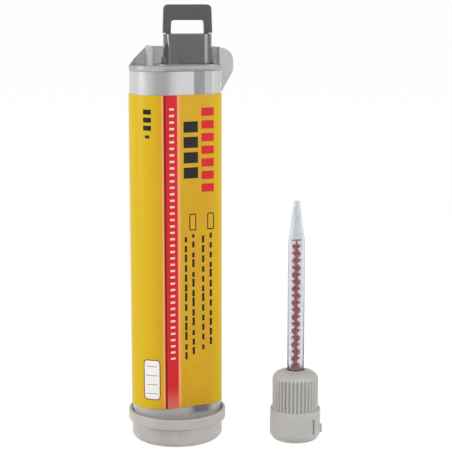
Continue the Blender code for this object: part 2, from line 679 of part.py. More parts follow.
def make_rod_a(holder):
    """The big chamber's cross-bladed rod, with a disc at its foot and a peg at its top."""
    foot_radius = BORE_A_RADIUS - ROD_A_FOOT_CLEARANCE
    rod = cylinder("main_rod", foot_radius, ROD_FOOT, ROD_FOOT + ROD_A_FOOT_THICKNESS, CHAMBER_A_X)
    low = (-ROD_A_REACH, -ROD_A_BLADE / 2, ROD_FOOT + GAP)
    high = (ROD_A_REACH, ROD_A_BLADE / 2, ROD_TOP)
    for angle in (0, pi / 2):
        blade = around(box("blade", low, high), angle)
        blade.data.transform(Matrix.Translation((CHAMBER_A_X, 0, 0)))
        join(rod, blade)
    join(rod, cylinder("peg", ROD_PEG_A, ROD_TOP - GAP, YOKE_FOOT + ROD_PEG_LENGTH, CHAMBER_A_X, SMALL_STEPS))
    return finish(rod, "grey_plunger", holder)


def make_rod_b(holder):
    """The small chamber's round rod and its peg."""
    profile = [
        (0, ROD_FOOT),
        (ROD_B_RADIUS, ROD_FOOT),
        (ROD_B_RADIUS, ROD_TOP),
        (ROD_PEG_B, ROD_TOP),
        (ROD_PEG_B, YOKE_FOOT + ROD_PEG_LENGTH),
        (0, YOKE_FOOT + ROD_PEG_LENGTH),
    ]
    return finish(turned("side_rod", profile, SMALL_STEPS, CHAMBER_B_X), "grey_plunger", holder)


def make_piston(name, radius, seal_width, seal_feet, centre_x, steps, holder):
    """A piston with a groove for each seal."""
    profile = [(0, PISTON_FOOT), (radius, PISTON_FOOT)]
    root = radius - seal_width
    for foot in seal_feet:
        profile.append((radius, foot - GAP))
        profile.append((root, foot - GAP))
        profile.append((root, foot + SEAL_HEIGHT + GAP))
        profile.append((radius, foot + SEAL_HEIGHT + GAP))
    profile.append((radius, PISTON_TOP))
    profile.append((0, PISTON_TOP))
    return finish(turned(name, profile, steps, centre_x), "white_piston", holder)


def make_seal(name, bore, root, foot, centre_x, steps, holder):
    """A rubber ring between a piston's groove and its bore, with a worn-round outer edge."""
    inner = root + GAP
    outer = bore - SEAL_GAP
    bulge = SEAL_HEIGHT / 4
    profile = [
        (inner, foot),
        (outer - bulge, foot),
        (outer, foot + bulge),
        (outer, foot + SEAL_HEIGHT - bulge),
        (outer - bulge, foot + SEAL_HEIGHT),
        (inner, foot + SEAL_HEIGHT),
    ]
    return finish(turned(name, profile, steps, centre_x), "black_rubber", holder)


def make_pistons(holder):
    """Both pistons and their three seals."""
    low_foot = PISTON_FOOT + SEAL_A_END + GAP
    high_foot = PISTON_TOP - SEAL_A_END - GAP - SEAL_HEIGHT
    middle_foot = (PISTON_FOOT + PISTON_TOP - SEAL_HEIGHT) / 2
    feet_a = (low_foot, high_foot)
    feet_b = (middle_foot,)
    make_piston("main_piston", PISTON_A_RADIUS, SEAL_A_WIDTH, feet_a, CHAMBER_A_X, ROUND_STEPS, holder)
    make_piston("side_piston", PISTON_B_RADIUS, SEAL_B_WIDTH, feet_b, CHAMBER_B_X, SMALL_STEPS, holder)
    root_a = PISTON_A_RADIUS - SEAL_A_WIDTH
    root_b = PISTON_B_RADIUS - SEAL_B_WIDTH
    make_seal("main_piston_front_seal", BORE_A_RADIUS, root_a, low_foot, CHAMBER_A_X, ROUND_STEPS, holder)
    make_seal("main_piston_rear_seal", BORE_A_RADIUS, root_a, high_foot, CHAMBER_A_X, ROUND_STEPS, holder)
    make_seal("side_piston_seal", BORE_B_RADIUS, root_b, middle_foot, CHAMBER_B_X, SMALL_STEPS, holder)


def bell_ribs():
    """Plan outline of the bell's grip ribs: each pitch has a floor, a rise, a crest and a fall."""
    floor_end, crest_start, crest_end = 0.3, 0.5, 0.8
    outline = []
    for i in range(BELL_RIBS):
        for share in (0, floor_end, crest_start, crest_end):
            radius = BELL_RIB_ROOT if share <= floor_end else BELL_RIB_CREST
            angle = 2 * pi * (i + share) / BELL_RIBS
            outline.append((radius * cos(angle), radius * sin(angle)))
    return outline


def make_bell(holder):
    """The bell nut: foot chamfer, plain collar, grip ribs, round shoulder and the socket below."""
    neck = TUBE_RADIUS + GAP + BELL_NECK_WALL
    profile = [
        (0, 0),
        (BELL_RIM_RADIUS, 0),
        (BELL_COLLAR_RADIUS, BELL_CHAMFER),
        (BELL_COLLAR_RADIUS, BELL_COLLAR_TOP - GAP),
        (BELL_COLLAR_RADIUS - GAP, BELL_COLLAR_TOP),
        (BELL_RIB_ROOT - GAP, BELL_COLLAR_TOP),
        (BELL_RIB_ROOT - GAP, BELL_RIB_TOP),
        (BELL_RIB_CREST, BELL_RIB_TOP),
    ]
    for i in range(1, CORNER_STEPS + 1):
        angle = pi / 2 * i / CORNER_STEPS
        radius = neck + (BELL_RIB_CREST - neck) * cos(angle)
        profile.append((radius, BELL_RIB_TOP + BELL_SHOULDER * sin(angle)))
    profile += [(neck, BELL_TOP), (0, BELL_TOP)]
    bell = turned("bell_nut", profile, BELL_RIBS)
    join(bell, prism("ribs", bell_ribs(), BELL_COLLAR_TOP - GAP, BELL_RIB_TOP + GAP))
    snap_top = BELL_SOCKET_DEPTH + BELL_SNAP_HEIGHT
    hollow = [
        (0, -CUT_OVER),
        (BELL_SOCKET_RADIUS, -CUT_OVER),
        (BELL_SOCKET_RADIUS, BELL_SOCKET_DEPTH),
        (BELL_SNAP_RADIUS, BELL_SOCKET_DEPTH),
        (BELL_SNAP_RADIUS, snap_top),
        (BELL_CHAMBER_RADIUS, snap_top),
        (BELL_CHAMBER_RADIUS, TUBE_CUP_TOP),
        (TUBE_RADIUS + GAP, TUBE_CONE_TOP + GAP),
        (TUBE_RADIUS + GAP, BELL_TOP + CUT_OVER),
        (0, BELL_TOP + CUT_OVER),
    ]
    cut(bell, turned("hollow", hollow, ROUND_STEPS))
    for turn in (0, pi):
        slot = box(
            "slot",
            (BELL_COLLAR_RADIUS - BELL_SLOT_CUT, -BELL_SLOT_WIDTH / 2, BELL_SLOT_FOOT),
            (BELL_COLLAR_RADIUS + CUT_OVER, BELL_SLOT_WIDTH / 2, BELL_SLOT_FOOT + BELL_SLOT_HEIGHT),
        )
        cut(bell, around(slot, BELL_SLOT_ANGLE + turn))
    lug = box(
        "lug",
        (BELL_SOCKET_RADIUS + GAP, -BELL_LUG_WIDTH / 2, BELL_CHAMFER),
        (BELL_COLLAR_RADIUS + BELL_LUG_REACH, BELL_LUG_WIDTH / 2, BELL_CHAMFER + BELL_LUG_HEIGHT),
    )
    join(bell, around(lug, BELL_LUG_ANGLE))
    return finish(bell, "warm_grey_bell", holder)


def make_mixer_tube(holder):
    """The clear tube: flange and cup inside the bell, straight barrel, tapered tip."""
    cone_foot = TUBE_FOOT + TUBE_FLANGE_THICKNESS
    profile = [
        (TUBE_CUP_RADIUS, TUBE_FOOT),
        (TUBE_FLANGE_RADIUS, TUBE_FOOT),
        (TUBE_FLANGE_RADIUS, cone_foot),
        (TUBE_CUP_OUTER, cone_foot),
        (TUBE_CUP_OUTER, TUBE_CUP_TOP),
        (TUBE_RADIUS, TUBE_CONE_TOP),
        (TUBE_RADIUS, TUBE_TAPER_FOOT),
        (TUBE_TIP_RADIUS, TUBE_TIP),
        (TUBE_TIP_BORE, TUBE_TIP),
        (TUBE_BORE, TUBE_TAPER_FOOT),
        (TUBE_BORE, TUBE_CUP_TOP),
        (TUBE_CUP_RADIUS, TUBE_CUP_TOP),
    ]
    return finish(turned("mixer_tube", profile, TUBE_STEPS), "clear_mixer_tube", holder)


def make_inlet_insert(holder):
    """The plug with the two inlets that seats in the tube's cup."""
    flange_top = TUBE_FOOT - GAP
    flange_foot = flange_top - INSERT_FLANGE_THICKNESS
    profile = [
        (0, flange_foot - INSERT_SPIGOT_LENGTH),
        (INSERT_SPIGOT_RADIUS, flange_foot - INSERT_SPIGOT_LENGTH),
        (INSERT_SPIGOT_RADIUS, flange_foot),
        (INSERT_FLANGE_RADIUS, flange_foot),
        (INSERT_FLANGE_RADIUS, flange_top),
        (TUBE_CUP_RADIUS - GAP, flange_top),
        (TUBE_CUP_RADIUS - GAP, INSERT_TOP),
        (0, INSERT_TOP),
    ]
    insert = turned("inlet_insert", profile, TUBE_STEPS)
    low = flange_foot - INSERT_SPIGOT_LENGTH - CUT_OVER
    for port_x, radius in ((INSERT_PORT_A_X, INSERT_PORT_A_RADIUS), (INSERT_PORT_B_X, INSERT_PORT_B_RADIUS)):
        cut(insert, cylinder("inlet", radius, low, INSERT_TOP + CUT_OVER, port_x, INLET_STEPS))
    return finish(insert, "white_piston", holder)


def make_inlet_ring(holder):
    """The rubber ring round the insert's spigot."""
    middle = TUBE_FOOT - GAP - INSERT_FLANGE_THICKNESS - INSERT_SPIGOT_LENGTH / 2
    centre = INSERT_SPIGOT_RADIUS + RING_SECTION + SEAL_GAP
    profile = []
    for i in range(RING_STEPS):
        angle = 2 * pi * i / RING_STEPS
        profile.append((centre + RING_SECTION * cos(angle), middle + RING_SECTION * sin(angle)))
    return finish(turned("inlet_ring", profile, TUBE_STEPS), "black_rubber", holder)


def make_element(holder):
    """The mixing spiral: half-turn blades, each turned the other way and set square to the last."""
    half_width = TUBE_BORE - ELEMENT_CLEARANCE
    half_thick = ELEMENT_THICKNESS / 2
    corners = ((1, 1), (-1, 1), (-1, -1), (1, -1))
    bm = bmesh.new()
    rings = []

    def ring(half_x, half_y, turn, z):
        made = []
        for sx, sy in corners:
            x, y = sx * half_x, sy * half_y
            made.append(bm.verts.new((x * cos(turn) - y * sin(turn), x * sin(turn) + y * cos(turn), z)))
        rings.append(made)

    turn = ELEMENT_TURN
    wide = (half_width, half_thick)
    for i in range(ELEMENT_COUNT):
        foot = ELEMENT_FOOT + i * ELEMENT_PITCH
        hand = 1 if i % 2 == 0 else -1
        for k in range(ELEMENT_STEPS + 1):
            share = k / ELEMENT_STEPS
            z = foot + ELEMENT_HUB / 2 + (ELEMENT_PITCH - ELEMENT_HUB) * share
            ring(wide[0], wide[1], turn + hand * pi * share, z)
        turn += hand * pi
        if i < ELEMENT_COUNT - 1:
            hub_foot = foot + ELEMENT_PITCH - ELEMENT_HUB / 2
            ring(half_thick, half_thick, turn, hub_foot)
            ring(half_thick, half_thick, turn, hub_foot + ELEMENT_HUB)
            wide = (wide[1], wide[0])
    for low, high in zip(rings, rings[1:]):
        for k in range(4):
            bm.faces.new((low[k], low[(k + 1) % 4], high[(k + 1) % 4], high[k]))
    bm.faces.new(list(reversed(rings[0])))
    bm.faces.new(rings[-1])
    return finish(object_from(bm, "mixing_element"), "red_element", holder)


def empty(name, place=(0.0, 0.0, 0.0), holder=None):
    """A holder for the pieces that move together."""
    made = bpy.data.objects.new(name, None)
    made.empty_display_size = HOLDER_SIZE
    made.location = place
    made.parent = holder
    bpy.context.collection.objects.link(made)
    return made


def main():
    """Builds the cap, the cartridge, the plunger and the mixer."""
    clear_scene()
    make_base_cap()
    make_outlet_plug()
    make_outlet_gasket()
    cartridge = empty("cartridge_holder")
    make_body(cartridge)
    make_wrap(cartridge)
    make_flange(cartridge)
    plunger = empty("plunger_holder", holder=cartridge)
    make_yoke(plunger)
    make_loop(plunger)
    make_rod_a(plunger)
    make_rod_b(plunger)
    make_pistons(plunger)
    mixer = empty("mixer_holder", MIXER_PLACE)
    make_bell(mixer)
    make_mixer_tube(mixer)
    make_inlet_insert(mixer)
    make_inlet_ring(mixer)
    make_element(mixer)


main()
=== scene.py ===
"""Looks of a two-chamber instant adhesive cartridge and of the static mixer that stands beside it.

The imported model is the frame. Every piece here is in metres, +Z up, and rides on one of its bodies.
"""

import logging
from dataclasses import dataclass, field
from enum import Enum
from math import acos, atan2, cos, pi, radians, sin, sqrt

import bmesh
import bpy
from mathutils import Matrix, Vector


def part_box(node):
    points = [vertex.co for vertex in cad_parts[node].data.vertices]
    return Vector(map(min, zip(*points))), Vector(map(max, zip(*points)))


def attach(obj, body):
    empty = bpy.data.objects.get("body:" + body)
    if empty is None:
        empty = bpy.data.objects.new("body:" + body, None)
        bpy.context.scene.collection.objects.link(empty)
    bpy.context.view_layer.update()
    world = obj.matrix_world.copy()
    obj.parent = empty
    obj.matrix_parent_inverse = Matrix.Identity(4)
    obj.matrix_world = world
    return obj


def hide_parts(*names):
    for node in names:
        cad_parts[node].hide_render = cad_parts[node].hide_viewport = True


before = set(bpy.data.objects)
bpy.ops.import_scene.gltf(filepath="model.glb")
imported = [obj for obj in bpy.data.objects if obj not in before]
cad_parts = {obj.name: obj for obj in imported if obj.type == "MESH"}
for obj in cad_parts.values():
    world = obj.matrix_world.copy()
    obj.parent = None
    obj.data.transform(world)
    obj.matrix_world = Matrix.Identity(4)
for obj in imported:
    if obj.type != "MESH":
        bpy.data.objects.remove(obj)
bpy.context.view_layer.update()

MM = 0.001
LOG = logging.getLogger("cartridge")
SAME_PLACE = 1e-8
ON_AXIS = 1e-7
FLAT_ANGLE = radians(0.2)
SHARP_ANGLE = radians(34.0)
CLOUD_START = 0.35
CLOUD_END = 0.65
FINE_DETAIL = 3.0

Colour = tuple[float, float, float]
Outline = list[tuple[float, float]]
Lobe = tuple[float, float]
Spot = tuple[float, float, float]
Ring = list[bmesh.types.BMVert]
Socket = bpy.types.NodeSocket
Piece = bpy.types.Object


class Grain(Enum):
    """How a moulded surface was finished: grain size in mm, depth in mm, spread of its roughness."""

    POLISHED = (1.6, 0.004, 0.04)
    SATIN = (0.45, 0.006, 0.08)
    SPARKED = (0.22, 0.012, 0.10)
    RUBBED = (0.9, 0.010, 0.12)


class Body(Enum):
    """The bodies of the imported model."""

    CAP = "cap"
    CARTRIDGE = "cartridge"
    PLUNGER = "plunger"
    BELL = "bell"
    MIXER = "mixer"


class Graph:
    """A material's node tree, with one short call for each node that the finishes use."""

    def __init__(self, name: str) -> None:
        """Starts an empty tree.

        Args:
            name: the material's name.
        """
        self.material = bpy.data.materials.new(name)
        self.material.use_nodes = True
        self.tree = self.material.node_tree
        self.tree.nodes.clear()

    def node(self, kind: str, **settings: object) -> bpy.types.Node:
        """Adds a node.

        Args:
            kind: the node's type.
            settings: the node's own properties.

        Returns:
            The new node.
        """
        made = self.tree.nodes.new(kind)
        for key, value in settings.items():
            setattr(made, key, value)
        return made

    def put(self, socket: Socket, value: object) -> None:
        """Links or sets a socket.

        Args:
            socket: the input.
            value: another node's output, or a plain value.
        """
        if isinstance(value, bpy.types.NodeSocket):
            self.tree.links.new(value, socket)
        elif isinstance(value, tuple) and len(value) == 3 and socket.type == "RGBA":
            socket.default_value = (*value, 1.0)
        else:
            socket.default_value = value

    def math(self, operation: str, *values: object) -> Socket:
        """Adds a Math node.

        Args:
            operation: its operation.
            values: its inputs, sockets or numbers.

        Returns:
            Its output.
        """
        made = self.node("ShaderNodeMath", operation=operation)
        for socket, value in zip(made.inputs, values):
            self.put(socket, value)
        return made.outputs[0]

    def mix(self, share: object, low: object, high: object) -> Socket:
        """Mixes two colours.

        Args:
            share: how much of the second colour shows.
            low: the first colour.
            high: the second colour.

        Returns:
            The mixed colour.
        """
        made = self.node("ShaderNodeMix", data_type="RGBA")
        for socket, value in zip((made.inputs[0], made.inputs[6], made.inputs[7]), (share, low, high)):
            self.put(socket, value)
        return made.outputs[2]

    def span(self, value: object, low: float, high: float, to_low: float, to_high: float) -> Socket:
        """Maps a value's range smoothly onto another.

        Args:
            value: what is mapped.
            low: the start of its range.
            high: the end of its range.
            to_low: what the start becomes.
            to_high: what the end becomes.

        Returns:
            The mapped value.
        """
        made = self.node("ShaderNodeMapRange", interpolation_type="SMOOTHSTEP")
        for socket, number in zip(made.inputs, (value, low, high, to_low, to_high)):
            self.put(socket, number)
        return made.outputs[0]

    def millimetres(self, stretch: tuple[float, float, float] = (1.0, 1.0, 1.0)) -> Socket:
        """Gives the surface point in the part's own frame, in millimetres.

        Args:
            stretch: how much each axis is stretched before it is read.

        Returns:
            The point.
        """
        where = self.node("ShaderNodeTexCoord")
        made = self.node("ShaderNodeVectorMath", operation="MULTIPLY")
        self.put(made.inputs[0], where.outputs["Object"])
        made.inputs[1].default_value = [1000.0 * share for share in stretch]
        return made.outputs[0]

    def axes(self, point: Socket) -> tuple[Socket, Socket, Socket]:
        """Splits a point.

        Args:
            point: the point.

        Returns:
            Its x, y and z.
        """
        made = self.node("ShaderNodeSeparateXYZ")
        self.put(made.inputs[0], point)
        return made.outputs[0], made.outputs[1], made.outputs[2]

    def noise(self, point: Socket, size: float, detail: float = 2.0) -> Socket:
        """Adds a soft noise.

        Args:
            point: where it is read, in millimetres.
            size: how large its blots are, in millimetres.
            detail: how many finer layers it has.

        Returns:
            Its value, from 0 to 1.
        """
        made = self.node("ShaderNodeTexNoise")
        self.put(made.inputs["Vector"], point)
        made.inputs["Scale"].default_value = 1.0 / size
        made.inputs["Detail"].default_value = detail
        return made.outputs[0]

    def away(self, value: Socket, middle: float) -> Socket:
        """How far a value lies from a middle, on either side of it."""
        return self.math("ABSOLUTE", self.math("SUBTRACT", value, middle))

    def clouded(self, point: Socket, size: float, shade: Colour, colour: Colour) -> Socket:
        """Mixes two shades of a colour by a soft cloud."""
        cloud = self.noise(point, size, FINE_DETAIL)
        return self.mix(self.span(cloud, CLOUD_START, CLOUD_END, 0.0, 1.0), shade, colour)

    def bump(self, height: Socket, depth: float) -> Socket:
        """Turns a height from 0 to 1 into a normal.

        Args:
            height: the height.
            depth: what 1 stands for, in millimetres.

        Returns:
            The normal.
        """
        made = self.node("ShaderNodeBump")
        made.inputs["Strength"].default_value = 1.0
        made.inputs["Distance"].default_value = depth * MM
        self.put(made.inputs["Height"], height)
        return made.outputs[0]

    def surface(self, **values: object) -> bpy.types.Material:
        """Adds the Principled shader and the output.

        Args:
            values: the shader's inputs, with underscores for spaces.

        Returns:
            The finished material.
        """
        shader = self.node("ShaderNodeBsdfPrincipled")
        for key, value in values.items():
            self.put(shader.inputs[key.replace("_", " ")], value)
        output = self.node("ShaderNodeOutputMaterial")
        self.put(output.inputs["Surface"], shader.outputs[0])
        return self.material


@dataclass(frozen=True)
class MouldedPlastic:
    """An opaque moulded plastic: its colour, a little clouding, and the grain of its tool."""

    name: str
    colour: Colour
    shade: Colour
    roughness: float
    grain: Grain
    coat: float = 0.0
    coat_roughness: float = 0.12
    cloud_size: float = 6.0
    speck_shade: float = 0.94
    speck_light: float = 1.03

    def tint(self, graph: Graph, point: Socket, colour: Socket) -> Socket:
        """Gives the plastic's colour, which is the same all over."""
        del graph, point
        return colour

    def material(self) -> bpy.types.Material:
        """Makes the material.

        Returns:
            The material.
        """
        size, depth, spread = self.grain.value
        graph = Graph(self.name)
        point = graph.millimetres()
        grain = graph.noise(point, size, FINE_DETAIL)
        cloudy = graph.clouded(point, self.cloud_size, self.shade, self.colour)
        colour = self.tint(graph, point, cloudy)
        speck = graph.span(grain, 0.3, 0.7, self.speck_shade, self.speck_light)
        tone = graph.node("ShaderNodeMix", data_type="RGBA", blend_type="MULTIPLY")
        graph.put(tone.inputs[0], 1.0)
        graph.put(tone.inputs[6], colour)
        graph.put(tone.inputs[7], speck)
        rough = graph.span(grain, 0.2, 0.8, self.roughness - spread, self.roughness + spread)
        return graph.surface(
            Base_Color=tone.outputs[2],
            Roughness=rough,
            Coat_Weight=self.coat,
            Coat_Roughness=self.coat_roughness,
            Normal=graph.bump(grain, depth),
        )


@dataclass(frozen=True)
class SlitPlastic(MouldedPlastic):
    """The neck's plastic, with painted shade inside its slit."""

    slit_x: tuple[float, float] = (-3.34, -2.26)
    slit_z: tuple[float, float] = (125.0, 132.6)
    slit_y: float = -3.4
    # A near-black painted shade for the slit's recess.
    slit_painted_shade: Colour = (0.012, 0.012, 0.013)

    def tint(self, graph: Graph, point: Socket, colour: Socket) -> Socket:
        """Gives the plastic's colour, with painted shade in the slit.

        Args:
            graph: the material's graph.
            point: the surface point in millimetres.
            colour: the plastic's plain colour.

        Returns:
            The colour.
        """
        x, y, z = graph.axes(point)
        inside = graph.math("GREATER_THAN", y, self.slit_y)
        for axis, (low, high) in ((x, self.slit_x), (z, self.slit_z)):
            away = graph.away(axis, (low + high) / 2)
            inside = graph.math("MULTIPLY", inside, graph.math("LESS_THAN", away, (high - low) / 2))
        inside = graph.math("MULTIPLY", inside, graph.math("LESS_THAN", y, 0.0))
        # Painted shade inside the slit.
        return graph.mix(inside, colour, self.slit_painted_shade)


@dataclass(frozen=True)
class ClearPlastic:
    """A clear or milky moulded plastic with flow streaks along the part and a faint haze."""

    name: str
    colour: Colour
    shade: Colour
    transmission: float
    roughness: float
    streak_size: float
    streak_depth: float
    index: float = 1.49
    cloud_size: float = 7.0
    haze_size: float = 2.2
    haze_detail: float = 4.0
    haze_share: float = 0.2
    streak_stretch: float = 0.08

    def tint(self, graph: Graph, point: Socket) -> Socket:
        """Gives the plastic's colour, clouded."""
        return graph.clouded(point, self.cloud_size, self.shade, self.colour)

    def material(self) -> bpy.types.Material:
        """Makes the material.

        Returns:
            The material.
        """
        graph = Graph(self.name)
        point = graph.millimetres()
        drawn = graph.millimetres((1.0, 1.0, self.streak_stretch))
        streaks = graph.noise(drawn, self.streak_size, FINE_DETAIL)
        haze = graph.noise(point, self.haze_size, self.haze_detail)
        low = self.roughness * (1.0 - self.haze_share)
        high = self.roughness * (1.0 + self.haze_share)
        rough = graph.span(haze, 0.25, 0.75, low, high)
        return graph.surface(
            Base_Color=self.tint(graph, point),
            Roughness=rough,
            Transmission_Weight=self.transmission,
            IOR=self.index,
            Normal=graph.bump(streaks, self.streak_depth),
        )


@dataclass(frozen=True)
class ClearPlasticWithPaintedShade(ClearPlastic):
    """The cartridge's clear plastic: a dark patch at the small chamber's foot, painted light and shade under
    the flange.
    """

    # A dark purple patch in the colour, near the small chamber's foot.
    dark_patch: Colour = (0.10, 0.06, 0.14)
    dark_patch_x: tuple[float, float] = (3.0, 12.0)
    dark_patch_z: tuple[float, float] = (8.8, 13.4)
    dark_patch_share: float = 0.75
    bare_z: tuple[float, float] = (100.0, 101.0)
    front_y: tuple[float, float] = (-3.0, 0.0)
    # lit is painted light on the bare band under the flange; shadows are painted shade bands on its front
    lit: Colour = (0.57, 0.575, 0.575)
    shadow: Colour = (0.16, 0.16, 0.16)
    shadows: tuple[tuple[tuple[float, float], float, float], ...] = (
        ((-10.8, 0.8), 4.8, 0.52),
        ((5.3, 9.5), 0.5, 0.88),
        ((9.0, 12.1), 0.8, 0.40),
    )

    def tint(self, graph: Graph, point: Socket) -> Socket:
        """Gives the plastic's colour with the dark patch, and painted light and shade on the bare band.

        Args:
            graph: the material's graph.
            point: the surface point in millimetres.

        Returns:
            The colour.
        """
        x, y, z = graph.axes(point)
        masks = []
        for axis, (low, high) in ((x, self.dark_patch_x), (z, self.dark_patch_z)):
            away = graph.away(axis, (low + high) / 2)
            masks.append(graph.span(away, (high - low) / 6, (high - low) / 2, 1.0, 0.0))
        share = graph.math("MULTIPLY", graph.math("MULTIPLY", *masks), self.dark_patch_share)
        # Painted light on the bare band, then painted shade bands across its front.
        bare = graph.span(z, *self.bare_z, 0.0, 1.0)
        plain = graph.mix(bare, super().tint(graph, point), self.lit)
        front = graph.math("MULTIPLY", graph.span(y, *self.front_y, 1.0, 0.0), bare)
        for (low, high), edge, depth in self.shadows:
            away = graph.away(x, (low + high) / 2)
            cover = graph.span(away, (high - low) / 2 - edge, (high - low) / 2, depth, 0.0)
            plain = graph.mix(graph.math("MULTIPLY", cover, front), plain, self.shadow)
        return graph.mix(share, plain, self.dark_patch)


@dataclass(frozen=True)
class Panel:
    """A printed field on the wrap: its span round the body and up it, and its corner radius, in mm."""

    left: float
    right: float
    foot: float
    top: float
    corner: float = 0.0

    def grown(self, by: float) -> "Panel":
        """The same field with its edges moved out by that much."""
        return Panel(self.left - by, self.right + by, self.foot - by, self.top + by, self.corner + by)


@dataclass(frozen=True)
class Ladder:
    """A column of plain bars on the wrap, one above the other, in millimetres."""

    field: Panel
    pitch: float
    share: float


@dataclass(frozen=True)
class PrintedFilm:
    """The wrap's film: a printed yellow ground, a painted highlight at the lobes, a red stripe and plain
    marks, under a satin varnish.
    """

    name: str = "printed_film"
    yellow: Colour = (0.64, 0.365, 0.020)
    deep_yellow: Colour = (0.61, 0.345, 0.018)
    # A lighter yellow painted towards both lobes, as the side lamps' highlight.
    painted_highlight_yellow: Colour = (0.66, 0.440, 0.014)
    red: Colour = (0.62, 0.022, 0.028)
    faded_red: Colour = (0.72, 0.16, 0.10)
    dark_red: Colour = (0.20, 0.016, 0.008)
    salmon: Colour = (0.84, 0.36, 0.14)
    black: Colour = (0.020, 0.017, 0.014)
    white: Colour = (0.84, 0.83, 0.80)
    tick: Colour = (0.86, 0.62, 0.55)
    roughness: float = 0.34
    middle: float = 4.5
    highlight_start: float = 7.5
    highlight_end: float = 14.0
    foot: float = 12.1
    top: float = 116.5
    stripe: Panel = Panel(-2.05, 1.9, 0.0, 200.0)
    stripe_edge: Panel = Panel(-2.75, -2.05, 0.0, 200.0)
    stripe_left: Panel = Panel(-3.4, -2.75, 0.0, 200.0)
    stripe_right: Panel = Panel(1.9, 2.9, 0.0, 200.0)
    write_on: Panel = Panel(-10.3, -4.4, 15.3, 29.1, 1.4)
    write_on_line: float = 0.32
    write_on_rules: Ladder = Ladder(Panel(-9.3, -5.4, 17.4, 27.0), 3.1, 0.06)
    fade_height: float = 8.0
    cloud_size: float = 9.0
    text_lines: tuple[float, ...] = (4.75, 7.4, 10.9, 13.65)
    text_half: float = 0.42
    text_foot: float = 28.6
    text_step: float = 1.4
    text_top: float = 70.8
    text_pitch: float = 3.3
    text_seed: float = 10.0
    box_lefts: tuple[float, ...] = (6.0, 12.4)
    box_width: float = 2.5
    box_foot: float = 72.0
    box_top: float = 77.6
    box_corner: float = 0.5
    box_line: float = 0.38

    def mask(self, graph: Graph, u: Socket, v: Socket, panel: Panel) -> Socket:
        """Finds where a field covers the surface.

        Args:
            graph: the material's graph.
            u: the distance round the body, in millimetres.
            v: the height, in millimetres.
            panel: the field.

        Returns:
            1 inside the field and 0 outside it.
        """
        reaches = []
        for axis, low, high in ((u, panel.left, panel.right), (v, panel.foot, panel.top)):
            away = graph.away(axis, (low + high) / 2)
            reaches.append(graph.math("SUBTRACT", away, (high - low) / 2 - panel.corner))
        if not panel.corner:
            return graph.math("LESS_THAN", graph.math("MAXIMUM", *reaches), 0.0)
        squares = [graph.math("POWER", graph.math("MAXIMUM", reach, 0.0), 2.0) for reach in reaches]
        distance = graph.math("SQRT", graph.math("ADD", *squares))
        return graph.math("LESS_THAN", distance, panel.corner)

    def bars(self, graph: Graph, u: Socket, v: Socket, ladder: Ladder) -> Socket:
        """Finds where a column of bars covers the surface.

        Args:
            graph: the material's graph.
            u: the distance round the body, in millimetres.
            v: the height, in millimetres.
            ladder: the column.

        Returns:
            1 on a bar and 0 elsewhere.
        """
        height = graph.math("DIVIDE", graph.math("SUBTRACT", v, ladder.field.foot), ladder.pitch)
        on = graph.math("LESS_THAN", graph.math("FRACT", height), ladder.share)
        return graph.math("MULTIPLY", on, self.mask(graph, u, v, ladder.field))

    def dashes(self, graph: Graph, u: Socket, v: Socket, field: Panel, pitch: float, seed: float) -> Socket:
        """Finds where a broken line of unlike dashes covers the surface.

        Args:
            graph: the material's graph.
            u: the distance round the body, in millimetres.
            v: the height, in millimetres.
            field: the line's field.
            pitch: the dashes' pitch in millimetres.
            seed: tells one line from another.

        Returns:
            1 on a dash and 0 elsewhere.
        """
        height = graph.math("DIVIDE", graph.math("SUBTRACT", v, field.foot), pitch)
        cell = graph.node("ShaderNodeTexWhiteNoise", noise_dimensions="1D")
        graph.put(cell.inputs["W"], graph.math("ADD", graph.math("FLOOR", height), seed))
        length = graph.math("MULTIPLY_ADD", cell.outputs["Value"], 0.4, 0.5)
        on = graph.math("LESS_THAN", graph.math("FRACT", height), length)
        return graph.math("MULTIPLY", on, self.mask(graph, u, v, field))

    def marks(self) -> list[tuple[Ladder, Colour]]:
        """The plain bars on the wrap, with their inks."""
        return [
            (Ladder(Panel(4.1, 9.2, 89.3, 108.4), 5.0, 0.72), self.black),
            (Ladder(Panel(10.4, 14.9, 84.6, 113.3), 4.15, 0.66), self.red),
            (Ladder(Panel(-9.6, -6.8, 105.2, 112.9), 2.6, 0.62), self.black),
            (Ladder(Panel(-9.0, -7.4, 102.7, 103.7), 1.2, 0.9), self.black),
            (Ladder(Panel(-0.8, 0.8, 29.0, 113.6), 2.12, 0.34), self.tick),
        ]

    def ink(self, graph: Graph, u: Socket, v: Socket) -> Socket:
        """Lays the inks over each other, on a ground with a painted highlight at the lobes.

        Args:
            graph: the material's graph.
            u: the distance round the body, in millimetres.
            v: the height, in millimetres.

        Returns:
            The printed colour.
        """
        flat = graph.clouded(graph.millimetres(), self.cloud_size, self.deep_yellow, self.yellow)
        away = graph.away(u, self.middle)
